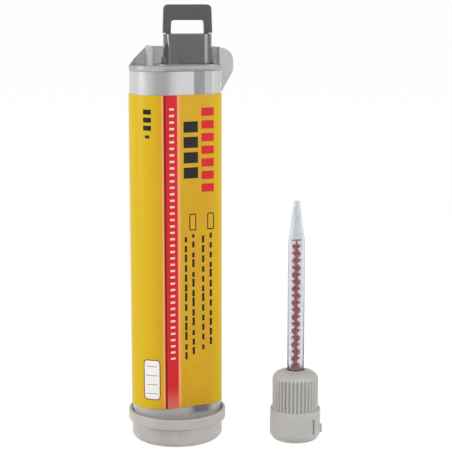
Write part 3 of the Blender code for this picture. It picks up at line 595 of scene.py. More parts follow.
        # Painted highlight: the ground turns lighter yellow away from the front, towards the lobes.
        ground = graph.mix(graph.span(away, self.highlight_start, self.highlight_end, 0.0, 1.0), flat, self.painted_highlight_yellow)
        fade = graph.span(v, self.foot, self.foot + self.fade_height, 1.0, 0.0)
        stripe_red = graph.mix(fade, self.red, self.faded_red)
        colour = ground
        for panel, ink in (
            (self.stripe_left, self.salmon),
            (self.stripe_edge, self.dark_red),
            (self.stripe, stripe_red),
            (self.stripe_right, self.salmon),
        ):
            colour = graph.mix(self.mask(graph, u, v, panel), colour, ink)
        for ladder, ink in self.marks():
            colour = graph.mix(self.bars(graph, u, v, ladder), colour, ink)
        for row, middle in enumerate(self.text_lines):
            foot = self.text_foot + self.text_step * row
            line = Panel(middle - self.text_half, middle + self.text_half, foot, self.text_top)
            dashes = self.dashes(graph, u, v, line, self.text_pitch, self.text_seed * row)
            colour = graph.mix(dashes, colour, self.black)
        for left in self.box_lefts:
            box = Panel(left, left + self.box_width, self.box_foot, self.box_top, self.box_corner)
            colour = graph.mix(self.mask(graph, u, v, box), colour, self.black)
            hollow = box.grown(-self.box_line)
            colour = graph.mix(self.mask(graph, u, v, hollow), colour, self.yellow)
        colour = graph.mix(self.mask(graph, u, v, self.write_on), colour, self.dark_red)
        inside = self.write_on.grown(-self.write_on_line)
        colour = graph.mix(self.mask(graph, u, v, inside), colour, self.white)
        return graph.mix(self.bars(graph, u, v, self.write_on_rules), colour, self.dark_red)

    def material(self) -> bpy.types.Material:
        """Makes the material.

        Returns:
            The material.
        """
        graph = Graph(self.name)
        where = graph.node("ShaderNodeUVMap", uv_map=PrintedWrap.UV_NAME)
        u, v, _ = graph.axes(where.outputs[0])
        u = graph.math("MULTIPLY", u, PrintedWrap.UV_SCALE)
        v = graph.math("MULTIPLY", v, PrintedWrap.UV_SCALE)
        ripple = graph.noise(graph.millimetres((1.0, 1.0, 0.35)), 5.0, 2.0)
        peel = graph.noise(graph.millimetres(), 0.5, 2.0)
        height = graph.math("ADD", ripple, graph.math("MULTIPLY", peel, 0.08))
        return graph.surface(
            Base_Color=self.ink(graph, u, v),
            Roughness=graph.span(peel, 0.2, 0.8, self.roughness - 0.05, self.roughness + 0.05),
            Specular_IOR_Level=0.10,
            Normal=graph.bump(height, 0.035),
        )


CLEAR_CAP = ClearPlastic("clear_cap", (0.70, 0.66, 0.63), (0.64, 0.60, 0.57), 0.45, 0.34, 1.4, 0.03)
CLEAR_BODY = ClearPlasticWithPaintedShade("clear_body", (0.62, 0.62, 0.62), (0.58, 0.58, 0.58), 0.12, 0.32, 1.6, 0.004)
CLEAR_FLANGE = ClearPlastic("clear_flange", (0.60, 0.60, 0.60), (0.57, 0.57, 0.57), 0.62, 0.22, 1.2, 0.003)
CLEAR_TUBE = ClearPlastic("clear_tube", (0.74, 0.76, 0.785), (0.72, 0.745, 0.775), 0.95, 0.02, 1.5, 0.0, 1.3)
NECK_GREY = SlitPlastic("neck_grey", (0.065, 0.065, 0.066), (0.058, 0.058, 0.059), 0.24, Grain.POLISHED, 1.0)
LOOP_GREY = MouldedPlastic("loop_grey", (0.063, 0.063, 0.064), (0.057, 0.057, 0.058), 0.55, Grain.SPARKED)
ROD_GREY = MouldedPlastic("rod_grey", (0.11, 0.11, 0.112), (0.09, 0.09, 0.092), 0.45, Grain.SATIN)
PISTON_WHITE = MouldedPlastic("piston_white", (0.76, 0.76, 0.74), (0.70, 0.70, 0.68), 0.42, Grain.SATIN)
PLUG_DARK = MouldedPlastic("plug_dark", (0.09, 0.07, 0.11), (0.07, 0.055, 0.09), 0.5, Grain.SATIN)
SEAL_BLACK = MouldedPlastic("seal_black", (0.018, 0.018, 0.018), (0.012, 0.012, 0.012), 0.6, Grain.RUBBED)
BELL_GREY = MouldedPlastic("bell_grey", (0.45, 0.445, 0.42), (0.42, 0.415, 0.39), 0.42, Grain.SATIN)
ELEMENT_RED = MouldedPlastic("element_red", (0.55, 0.020, 0.050), (0.48, 0.016, 0.042), 0.38, Grain.SATIN)


def object_from(bm: bmesh.types.BMesh, name: str) -> Piece:
    """Turns a bmesh into a linked object with its faces pointing out.

    Args:
        bm: the mesh, which is used up.
        name: the object's name.

    Returns:
        The object.
    """
    bmesh.ops.remove_doubles(bm, verts=bm.verts, dist=SAME_PLACE)
    bmesh.ops.recalc_face_normals(bm, faces=bm.faces)
    mesh = bpy.data.meshes.new(name)
    bm.to_mesh(mesh)
    bm.free()
    made = bpy.data.objects.new(name, mesh)
    bpy.context.scene.collection.objects.link(made)
    return made


def skin(bm: bmesh.types.BMesh, low: Ring, high: Ring) -> None:
    """Joins two rings of as many points by a band of faces.

    Args:
        bm: the mesh.
        low: the first ring.
        high: the second ring.
    """
    for i in range(len(low)):
        k = (i + 1) % len(low)
        bm.faces.new((low[i], low[k], high[k], high[i]))


def prism(name: str, outline: Outline, foot: float, top: float) -> Piece:
    """Draws an outline in plan up from one level to another.

    Args:
        name: the object's name.
        outline: its points in plan.
        foot: the lower level.
        top: the upper level.

    Returns:
        The object.
    """
    bm = bmesh.new()
    low = [bm.verts.new((x, y, foot)) for x, y in outline]
    high = [bm.verts.new((x, y, top)) for x, y in outline]
    bm.faces.new(list(reversed(low)))
    bm.faces.new(high)
    skin(bm, low, high)
    return object_from(bm, name)


def slab(name: str, outline: Outline, front: float, back: float) -> Piece:
    """Draws an outline in elevation back from one depth to another.

    Args:
        name: the object's name.
        outline: its (x, z) points.
        front: the nearer depth.
        back: the further depth.

    Returns:
        The object.
    """
    made = prism(name, outline, -back, -front)
    made.data.transform(Matrix.Rotation(pi / 2, 4, "X"))
    return made


def block(name: str, low: Vector, high: Vector) -> Piece:
    """Makes a box between two corners, as a cutter or a small boss."""
    outline = [(low[0], low[1]), (high[0], low[1]), (high[0], high[1]), (low[0], high[1])]
    return prism(name, outline, low[2], high[2])


def lathe(name: str, profile: Outline, steps: int, centre: tuple[float, float] = (0.0, 0.0)) -> Piece:
    """Turns a closed profile about an upright axis.

    Args:
        name: the object's name.
        profile: its (radius, height) points; the ends meet on the axis or join each other.
        steps: how many turns of the profile there are.
        centre: the axis's place in plan.

    Returns:
        The object.
    """
    bm = bmesh.new()
    rings = []
    for radius, height in profile:
        if radius < ON_AXIS:
            rings.append([bm.verts.new((centre[0], centre[1], height))] * steps)
            continue
        ring = []
        for i in range(steps):
            angle = 2 * pi * i / steps
            x = centre[0] + radius * cos(angle)
            y = centre[1] + radius * sin(angle)
            ring.append(bm.verts.new((x, y, height)))
        rings.append(ring)
    pairs = list(zip(rings, rings[1:]))
    if profile[0][0] > ON_AXIS or profile[-1][0] > ON_AXIS:
        pairs.append((rings[-1], rings[0]))
    for low, high in pairs:
        for i in range(steps):
            k = (i + 1) % steps
            corners = list(dict.fromkeys((low[i], low[k], high[k], high[i])))
            if len(corners) > 2:
                bm.faces.new(corners)
    return object_from(bm, name)


def cylinder(name: str, radius: float, foot: float, top: float, steps: int, x: float = 0.0) -> Piece:
    """Makes an upright cylinder whose axis lies in the middle plane, at that x."""
    profile = [(0.0, foot), (radius, foot), (radius, top), (0.0, top)]
    return lathe(name, profile, steps, (x, 0.0))


def combine(target: Piece, other: Piece, operation: str) -> Piece:
    """Joins, cuts or crosses two objects; the second is used up.

    Args:
        target: what is changed.
        other: what it is changed with.
        operation: UNION, DIFFERENCE or INTERSECT.

    Returns:
        The changed object.
    """
    modifier = target.modifiers.new(operation.lower(), "BOOLEAN")
    modifier.operation = operation
    modifier.solver = "EXACT"
    modifier.object = other
    graph = bpy.context.evaluated_depsgraph_get()
    result = bpy.data.meshes.new_from_object(target.evaluated_get(graph))
    target.modifiers.remove(modifier)
    target.data = result
    bpy.data.objects.remove(other, do_unlink=True)
    return target


def join(target: Piece, *others: Piece) -> Piece:
    """The target with the others added to it."""
    for other in others:
        combine(target, other, "UNION")
    return target


def cut(target: Piece, *others: Piece) -> Piece:
    """The target with the others taken out of it."""
    for other in others:
        combine(target, other, "DIFFERENCE")
    return target


def rounded(corners: list[tuple[float, float, float]], steps: int = 8) -> Outline:
    """Replaces each corner of an outline by an arc.

    Args:
        corners: (x, y, radius) of each corner.
        steps: how many pieces each arc has.

    Returns:
        The outline.
    """
    outline = []
    for i, (x, y, radius) in enumerate(corners):
        here = Vector((x, y))
        if radius <= 0:
            outline.append((x, y))
            continue
        before = (Vector(corners[i - 1][:2]) - here).normalized()
        after = (Vector(corners[(i + 1) % len(corners)][:2]) - here).normalized()
        half = before.angle(after) / 2
        centre = here + (before + after).normalized() * (radius / sin(half))
        reach = radius * cos(half) / sin(half)
        start = here + before * reach - centre
        end = here + after * reach - centre
        first = atan2(start.y, start.x)
        sweep = (atan2(end.y, end.x) - first + pi) % (2 * pi) - pi
        for k in range(steps + 1):
            angle = first + sweep * k / steps
            outline.append((centre.x + radius * cos(angle), centre.y + radius * sin(angle)))
    return outline


def rounded_block(width: float, depth: float, corner: float, centre_x: float, steps: int = 10) -> Outline:
    """Gives the plan of a block with round corners."""
    signs = ((1, -1), (1, 1), (-1, 1), (-1, -1))
    return rounded([(centre_x + sx * width / 2, sy * depth / 2, corner) for sx, sy in signs], steps)


def quarter(centre: tuple[float, float], reach: tuple[float, float], start: float, steps: int = 6) -> Outline:
    """Gives a quarter turn of a profile, anticlockwise.

    Args:
        centre: the arc's centre, as (radius, height).
        reach: its half sizes along both.
        start: the angle where it starts.
        steps: how many pieces it has.

    Returns:
        The arc's points.
    """
    points = []
    for i in range(steps + 1):
        angle = start + pi / 2 * i / steps
        points.append((centre[0] + reach[0] * cos(angle), centre[1] + reach[1] * sin(angle)))
    return points


def soften(piece: Piece, width: float, segments: int = 3, limit: float = 40.0) -> Piece:
    """Rounds a piece's sharp edges and applies the modifier.

    Args:
        piece: the piece.
        width: the rounding's width.
        segments: how many faces it has across.
        limit: the smallest angle, in degrees, that is rounded.

    Returns:
        The piece.
    """
    bm = bmesh.new()
    bm.from_mesh(piece.data)
    bmesh.ops.dissolve_limit(bm, angle_limit=FLAT_ANGLE, verts=bm.verts, edges=bm.edges)
    bm.to_mesh(piece.data)
    bm.free()
    modifier = piece.modifiers.new("softened edges", "BEVEL")
    modifier.width = width
    modifier.segments = segments
    modifier.limit_method = "ANGLE"
    modifier.angle_limit = radians(limit)
    modifier.use_clamp_overlap = True
    modifier.harden_normals = False
    graph = bpy.context.evaluated_depsgraph_get()
    result = bpy.data.meshes.new_from_object(piece.evaluated_get(graph))
    piece.modifiers.remove(modifier)
    piece.data = result
    return piece


def dress(piece: Piece, material: bpy.types.Material, body: Body, slot: str, *nodes: str) -> Piece:
    """Finishes a piece: its material, smooth shading, its body and the nodes that it stands for.

    Args:
        piece: the piece.
        material: its material.
        body: the body that it rides on.
        slot: not used.
        nodes: the CAD nodes that it replaces.

    Returns:
        The piece.
    """
    piece.data.materials.clear()
    piece.data.materials.append(material)
    piece.data.shade_smooth()
    piece.data.set_sharp_from_angle(angle=SHARP_ANGLE)
    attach(piece, body.value)
    if nodes:
        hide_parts(*nodes)
    LOG.info("%s: %d faces on %s", piece.name, len(piece.data.polygons), body.value)
    return piece


def dress_node(name: str, material: bpy.types.Material) -> None:
    """Gives a CAD node that stays in view its material.

    Args:
        name: the node's name.
        material: its material.
    """
    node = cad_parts[name]
    if not node.material_slots:
        node.data.materials.append(material)
    for holder in node.material_slots:
        holder.material = material
    LOG.info("%s: CAD node dressed", name)


def two_lobes(small: Lobe, big: Lobe, turn: float, small_steps: int, big_steps: int) -> Outline:
    """Gives the plan of two round lobes and the straight sides that touch both.

    Args:
        small: the small lobe's x and radius.
        big: the big lobe's x and radius.
        turn: the angle at which the sides leave the lobes.
        small_steps: how many pieces the small arc has.
        big_steps: how many pieces the big arc has.

    Returns:
        The outline, anticlockwise.
    """
    points = []
    for i in range(small_steps + 1):
        angle = -turn + 2 * turn * i / small_steps
        points.append((small[0] + small[1] * cos(angle), small[1] * sin(angle)))
    for i in range(big_steps + 1):
        angle = turn + (2 * pi - 2 * turn) * i / big_steps
        points.append((big[0] + big[1] * cos(angle), big[1] * sin(angle)))
    return points


@dataclass
class Shell:
    """The body's plan: two round lobes and the straight sides that touch both."""

    wall: float = 1.05 * MM
    small_radius: float = 5.35 * MM
    seat: float = 7.2 * MM
    big_radius: float = field(init=False)
    big_x: float = field(init=False)
    small_x: float = field(init=False)
    foot: float = field(init=False)
    top: float = field(init=False)

    def __post_init__(self) -> None:
        """Takes the lobes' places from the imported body."""
        low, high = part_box("cartridge_body")
        self.big_radius = (high.y - low.y) / 2
        self.big_x = low.x + self.big_radius
        self.small_x = high.x - self.small_radius
        self.top = high.z
        self.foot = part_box("base_cap")[0].z + self.seat

    def turn(self) -> float:
        """The angle at which the straight sides leave the lobes."""
        return acos((self.big_radius - self.small_radius) / (self.small_x - self.big_x))

    def outline(self, offset: float, big_steps: int = 96, small_steps: int = 48) -> Outline:
        """Gives the plan moved out or in.

        Args:
            offset: how far out.
            big_steps: how many pieces the big arc has.
            small_steps: how many pieces the small arc has.

        Returns:
            The outline, anticlockwise.
        """
        small = (self.small_x, self.small_radius + offset)
        big = (self.big_x, self.big_radius + offset)
        return two_lobes(small, big, self.turn(), small_steps, big_steps)


@dataclass
class BaseCap:
    """The milky cap that the cartridge stands in, with its ring, its stopper and the gasket."""

    lip_height: float = 3.1 * MM
    lip_wall: float = 1.0 * MM
    lip_round: float = 0.45 * MM
    ledge: float = 6.9 * MM
    body_step: float = 1.2 * MM
    body_wall: float = 1.3 * MM
    floor: float = 1.4 * MM
    foot_round: float = 2.0 * MM
    ring_bore: float = 6.9 * MM
    ring_wall: float = 0.9 * MM
    ring_top: float = 4.6 * MM
    steps: int = 144

    def profile(self) -> Outline:
        """Gives the cap's section, from the axis under the floor round to the axis over it.

        Returns:
            The profile.
        """
        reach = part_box("base_cap")[1].x
        body = reach - self.body_step
        top = self.ledge + self.lip_height
        edge = self.lip_round
        bore = reach - self.lip_wall
        corner = (body - self.foot_round, self.foot_round)
        outside = quarter(corner, (self.foot_round, self.foot_round), -pi / 2, 10)
        inner_reach = (self.foot_round - self.body_wall, self.foot_round - self.floor)
        inside = quarter(corner, inner_reach, -pi / 2, 8)
        points = [(0.0, 0.0)] + outside
        points += [(body, self.ledge - 2 * edge)]
        points += quarter((reach - edge, self.ledge), (edge, edge), -pi / 2, 5)
        points += quarter((reach - edge, top - edge), (edge, edge), 0.0, 5)
        points += quarter((bore + edge / 2, top - edge / 2), (edge / 2, edge / 2), pi / 2, 3)
        points += [(bore, self.ledge), (body - self.body_wall, self.ledge)]
        points += reversed(inside)
        outer = self.ring_bore + self.ring_wall
        tip = self.ring_wall / 2
        points += [(outer + edge, self.floor), (outer, self.floor + edge)]
        points += quarter((outer - tip, self.ring_top - tip), (tip, tip), 0.0, 4)
        points += quarter((self.ring_bore + tip, self.ring_top - tip), (tip, tip), pi / 2, 4)
        points += [(self.ring_bore, self.floor), (0.0, self.floor)]
        return points

    def build(self) -> None:
        """Builds the cap and dresses what it holds."""
        cap = lathe("milky_cap", self.profile(), self.steps)
        dress(cap, CLEAR_CAP.material(), Body.CAP, "clear_cap", "base_cap")
        dress_node("outlet_plug", PLUG_DARK.material())
        dress_node("outlet_gasket", SEAL_BLACK.material())


@dataclass
class CartridgeBody:
    """The clear body: its skin, the well over the bores, the end plate and the outlet nose."""

    shell: Shell
    bore_big: float = 8.7 * MM
    bore_small: float = 2.75 * MM
    bore_floor: float = 12.0 * MM
    bore_top: float = 60.0 * MM
    end_plate_foot: float = 9.0 * MM
    nose_radius: float = 5.5 * MM
    nose_foot: float = 4.2 * MM
    nose_lug_reach: float = 1.1 * MM
    nose_lug_width: float = 4.4 * MM
    nose_lug_height: float = 1.2 * MM
    port_big: tuple[float, float] = (-2.2 * MM, 1.3 * MM)
    port_small: tuple[float, float] = (3.2 * MM, 0.85 * MM)
    nose_edge: float = 0.4 * MM
    nose_steps: int = 72
    bore_steps: int = 80
    port_steps: int = 32
    rim_round: float = 0.22 * MM
    sink: float = 0.3 * MM
    over: float = 1.0 * MM

    def nose(self) -> Piece:
        """Makes the outlet nose with its two bayonet lugs and its ports.

        Returns:
            The nose.
        """
        reach = self.nose_radius + self.nose_lug_reach
        low = self.nose_foot + self.sink
        edge = self.nose_edge
        top = self.end_plate_foot + self.sink
        profile = [(0.0, self.nose_foot), (self.nose_radius - edge, self.nose_foot)]
        profile += [(self.nose_radius, self.nose_foot + edge), (self.nose_radius, top), (0.0, top)]
        nose = lathe("nose", profile, self.nose_steps)
        half = self.nose_lug_width / 2
        lugs = block("lugs", (-reach, -half, low), (reach, half, low + self.nose_lug_height))
        lug_round = cylinder("lug round", reach, low - self.over, top, self.nose_steps)
        combine(lugs, lug_round, "INTERSECT")
        return join(nose, lugs)

    def build(self) -> None:
        """Builds the body."""
        shell = self.shell
        body = prism("clear_barrel", shell.outline(0.0), shell.foot, shell.top)
        well = shell.outline(-shell.wall)
        cut(body, prism("well", well, self.bore_top, shell.top + self.over))
        cut(body, prism("recess", well, shell.foot - self.over, self.end_plate_foot))
        soften(body, self.rim_round, 2, 60.0)
        for centre_x, radius in ((shell.big_x, self.bore_big), (shell.small_x, self.bore_small)):
            top = self.bore_top + self.over
            cut(body, cylinder("bore", radius, self.bore_floor, top, self.bore_steps, centre_x))
        join(body, self.nose())
        for centre_x, radius in (self.port_big, self.port_small):
            foot = self.nose_foot - self.over
            top = self.end_plate_foot + self.over
            cut(body, cylinder("port", radius, foot, top, self.port_steps, centre_x))
        dress(body, CLEAR_BODY.material(), Body.CARTRIDGE, "clear_body", "cartridge_body")


@dataclass
class PrintedWrap:
    """The printed film round the body, whose end laps over its start at the back."""

    shell: Shell
    gap: float = 0.12 * MM
    thickness: float = 0.23 * MM
    lap: float = 0.05 * MM
    lap_length: float = 3.2 * MM
    lap_rise: float = 0.5 * MM
    rows: int = 24
    big_steps: int = 120
    small_steps: int = 60

    UV_NAME = "print"
    UV_SCALE = 200.0

    def path(self) -> list[tuple[Vector, Vector, float]]:
        """Walks round the body from the back seam, past the big lobe, the front and the small lobe.

        Returns:
            For each station its point on the skin, its outward direction, and its distance from the
            front tangent of the big lobe.
        """
        shell = self.shell
        turn = shell.turn()
        side = sqrt((shell.small_x - shell.big_x) ** 2 - (shell.big_radius - shell.small_radius) ** 2)
        outer = self.gap + self.thickness
        big, small = shell.big_radius + outer, shell.small_radius + outer
        stations = []

        def add(centre_x: float, radius: float, angle: float, along: float) -> None:
            """Adds a station on a lobe."""
            out = Vector((cos(angle), sin(angle)))
            stations.append((Vector((centre_x, 0.0)) + out * radius, out, along))

        big_sweep = 2 * (pi - turn)
        small_sweep = 2 * turn
        start = -big * big_sweep - side / 2
        back_out = Vector((cos(turn), sin(turn)))
        middle = Vector(((shell.big_x + shell.small_x) / 2, 0.0)) + back_out * (
            (shell.big_radius + shell.small_radius) / 2
        )
        stations.append((middle, back_out, start))
        for i in range(self.big_steps + 1):
            share = i / self.big_steps
            add(shell.big_x, shell.big_radius, turn + big_sweep * share, big * big_sweep * (share - 1.0))
        for i in range(self.small_steps + 1):
            share = i / self.small_steps
            along = side + small * small_sweep * share
            add(shell.small_x, shell.small_radius, -turn + small_sweep * share, along)
        stop = side + small * small_sweep + side / 2
        way = Vector((sin(turn), -cos(turn)))
        for back in (self.lap_length, self.lap_length - self.lap_rise, 0.0):
            stations.append((middle + way * back, back_out, stop - back))
        return stations

    def build(self) -> None:
        """Builds the film as one closed band with a step at its lap."""
        low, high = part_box("printed_wrap")
        stations = self.path()
        end = stations[-1][2]
        chamfer = self.thickness / 4
        bm = bmesh.new()
        uv = bm.loops.layers.uv.new(self.UV_NAME)
        heights = [low.z, low.z + chamfer]
        heights += [low.z + (high.z - low.z) * i / self.rows for i in range(1, self.rows)]
        heights += [high.z - chamfer, high.z]
        rings = []
        for point, out, along in stations:
            lifted = self.lap if end - along < self.lap_length - self.lap_rise / 2 else 0.0
            face = self.gap + self.thickness + lifted
            ring = []
            for i, height in enumerate(heights):
                pull = chamfer if i in (0, len(heights) - 1) else 0.0
                place = point + out * (face - pull)
                ring.append((bm.verts.new((place.x, place.y, height)), along, height))
            for height in (high.z, low.z):
                place = point + out * self.gap
                ring.append((bm.verts.new((place.x, place.y, height)), along, height))
            rings.append(ring)
        count = len(rings[0])
        for first, second in zip(rings, rings[1:] + rings[:1]):
            for i in range(count):
                k = (i + 1) % count
                corners = (first[i], second[i], second[k], first[k])
                made = bm.faces.new([corner[0] for corner in corners])
                for loop, corner in zip(made.loops, corners):
                    loop[uv].uv = (corner[1] / MM / self.UV_SCALE, corner[2] / MM / self.UV_SCALE)
        bmesh.ops.recalc_face_normals(bm, faces=bm.faces)
        mesh = bpy.data.meshes.new("printed_film_wrap")
        bm.to_mesh(mesh)
        bm.free()
        wrap = bpy.data.objects.new("printed_film_wrap", mesh)
        bpy.context.scene.collection.objects.link(wrap)
        dress(wrap, PrintedFilm().material(), Body.CARTRIDGE, "printed_film", "printed_wrap")


@dataclass
class FingerFlange:
    """The clear flange on the body's mouth: plate, collar, skirt, back wall with slope and rib, and ear."""

    shell: Shell
    plate: float = 1.54 * MM
    seat: float = 0.06 * MM
    overhang: float = 0.15 * MM
    crown_rise: float = 5.8 * MM
    crown_wall: float = 1.0 * MM
    shoulder_run: float = 5.7 * MM
    rib_width: float = 1.6 * MM
    rib_front: float = 2.5 * MM
    ear_reach: float = 4.15 * MM
    ear_thickness: float = 1.5 * MM
    ear_drop: float = 7.4 * MM
    ear_slope_rise: float = 6.9 * MM
    ear_radius: float = 4.2 * MM
    collar_wall: float = 1.0 * MM
    collar_height: float = 0.4 * MM
    hole_width: float = 17.7 * MM
    hole_depth: float = 8.8 * MM
    hole_corner: float = 2.8 * MM
    skirt_depth: float = 3.0 * MM
    skirt_wall: float = 0.9 * MM
    skirt_end: float = -5.25 * MM
    sink: float = 0.3 * MM
    edge: float = 0.22 * MM
    over: float = 1.0 * MM

    def __post_init__(self) -> None:
        """Takes the plate's level from the body, and the hole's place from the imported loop."""
        low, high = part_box("pull_loop")
        self.neck_x = (low.x + high.x) / 2
        self.foot = self.shell.top + self.seat
        self.top = self.foot + self.plate
        self.crown_top = self.top + self.crown_rise
        self.crown_reach = self.overhang - self.sink

    def crown(self) -> Piece:
        """Makes the wall round the plate's back, with a slope at the left and the rib that it runs up to.

        Returns:
            The wall.
        """
        foot = self.foot + self.sink
        past = 2 * self.shell.big_radius
        over = self.crown_top + self.over
        crown = prism("crown", self.shell.outline(self.crown_reach), foot, self.crown_top)
        inside = self.shell.outline(self.crown_reach - self.crown_wall)
        cut(crown, prism("inside", inside, foot - self.over, over))
        cut(crown, block("front", (-past, -past, foot - self.over), (past, -self.sink, over)))
        left = self.shell.big_x - self.shell.big_radius - self.crown_reach
        rib_x = left + self.shoulder_run
        end = rib_x + self.sink
        fall = (self.crown_rise - self.sink) / (self.shoulder_run + self.sink) * self.over
        slope = [(left - self.over, self.top + self.sink - fall), (end, self.crown_top)]
        slope += [(end, over), (left - self.over, over)]
        cut(crown, slab("slope", slope, -past, past))
        low = (rib_x, -self.rib_front, foot + self.sink)
        rib = block("rib", low, (rib_x + self.rib_width, past, self.crown_top + self.sink))
        trim = self.shell.outline(self.crown_reach - self.sink)
        return join(crown, combine(rib, prism("trim", trim, foot - self.over, over), "INTERSECT"))

    def ear(self) -> Piece:
        """Makes the round ear beside the small chamber, which draws in to a point above the print.

        Returns:
            The ear.
        """
        side = self.shell.small_x + self.shell.small_radius
        root = side + self.sink
        reach = side + self.ear_reach
        tip = self.shell.top + self.sink - self.ear_drop
        inner = side + self.crown_reach - self.crown_wall / 2
        seat = self.foot + self.sink
        top = self.crown_top - self.sink
        corners = [(root, tip, 0.0), (reach, tip + self.ear_slope_rise, self.ear_radius)]
        corners += [(reach, top, self.ear_radius), (inner, top, 0.0), (inner, seat, 0.0), (root, seat, 0.0)]
        return slab("ear", rounded(corners, 20), -self.ear_thickness / 2, self.ear_thickness / 2)

    def skirt(self) -> Piece:
        """Makes the wall that hugs the inside of the big chamber's skin.

        Returns:
            The skirt.
        """
        foot = self.foot - self.skirt_depth
        top = self.foot + self.sink
        face = -self.shell.wall - self.sink
        skirt = prism("skirt", self.shell.outline(face), foot, top)
        inside = self.shell.outline(face - self.skirt_wall)
        cut(skirt, prism("inside", inside, foot - self.over, top + self.over))
        past = 3 * self.shell.big_radius
        end = block("end", (self.skirt_end, -past, foot - self.over), (past, past, top + self.over))
        return cut(skirt, end)

    def build(self) -> None:
        """Builds the flange."""
        flange = prism("clear_finger_flange", self.shell.outline(self.overhang), self.foot, self.top)
        wall = 2 * self.collar_wall
        collar_plan = rounded_block(
            self.hole_width + wall, self.hole_depth + wall, self.hole_corner + self.collar_wall, self.neck_x
        )
        collar_top = self.top + self.collar_height
        collar = prism("collar", collar_plan, self.foot + self.sink, collar_top)
        join(flange, collar, self.crown(), self.ear(), self.skirt())
        hole = rounded_block(self.hole_width, self.hole_depth, self.hole_corner, self.neck_x)
        foot = self.foot - self.skirt_depth - self.over
        cut(flange, prism("hole", hole, foot, collar_top + self.over))
        soften(flange, self.edge, 2, 50.0)
        dress(flange, CLEAR_FLANGE.material(), Body.CARTRIDGE, "clear_flange", "finger_flange")


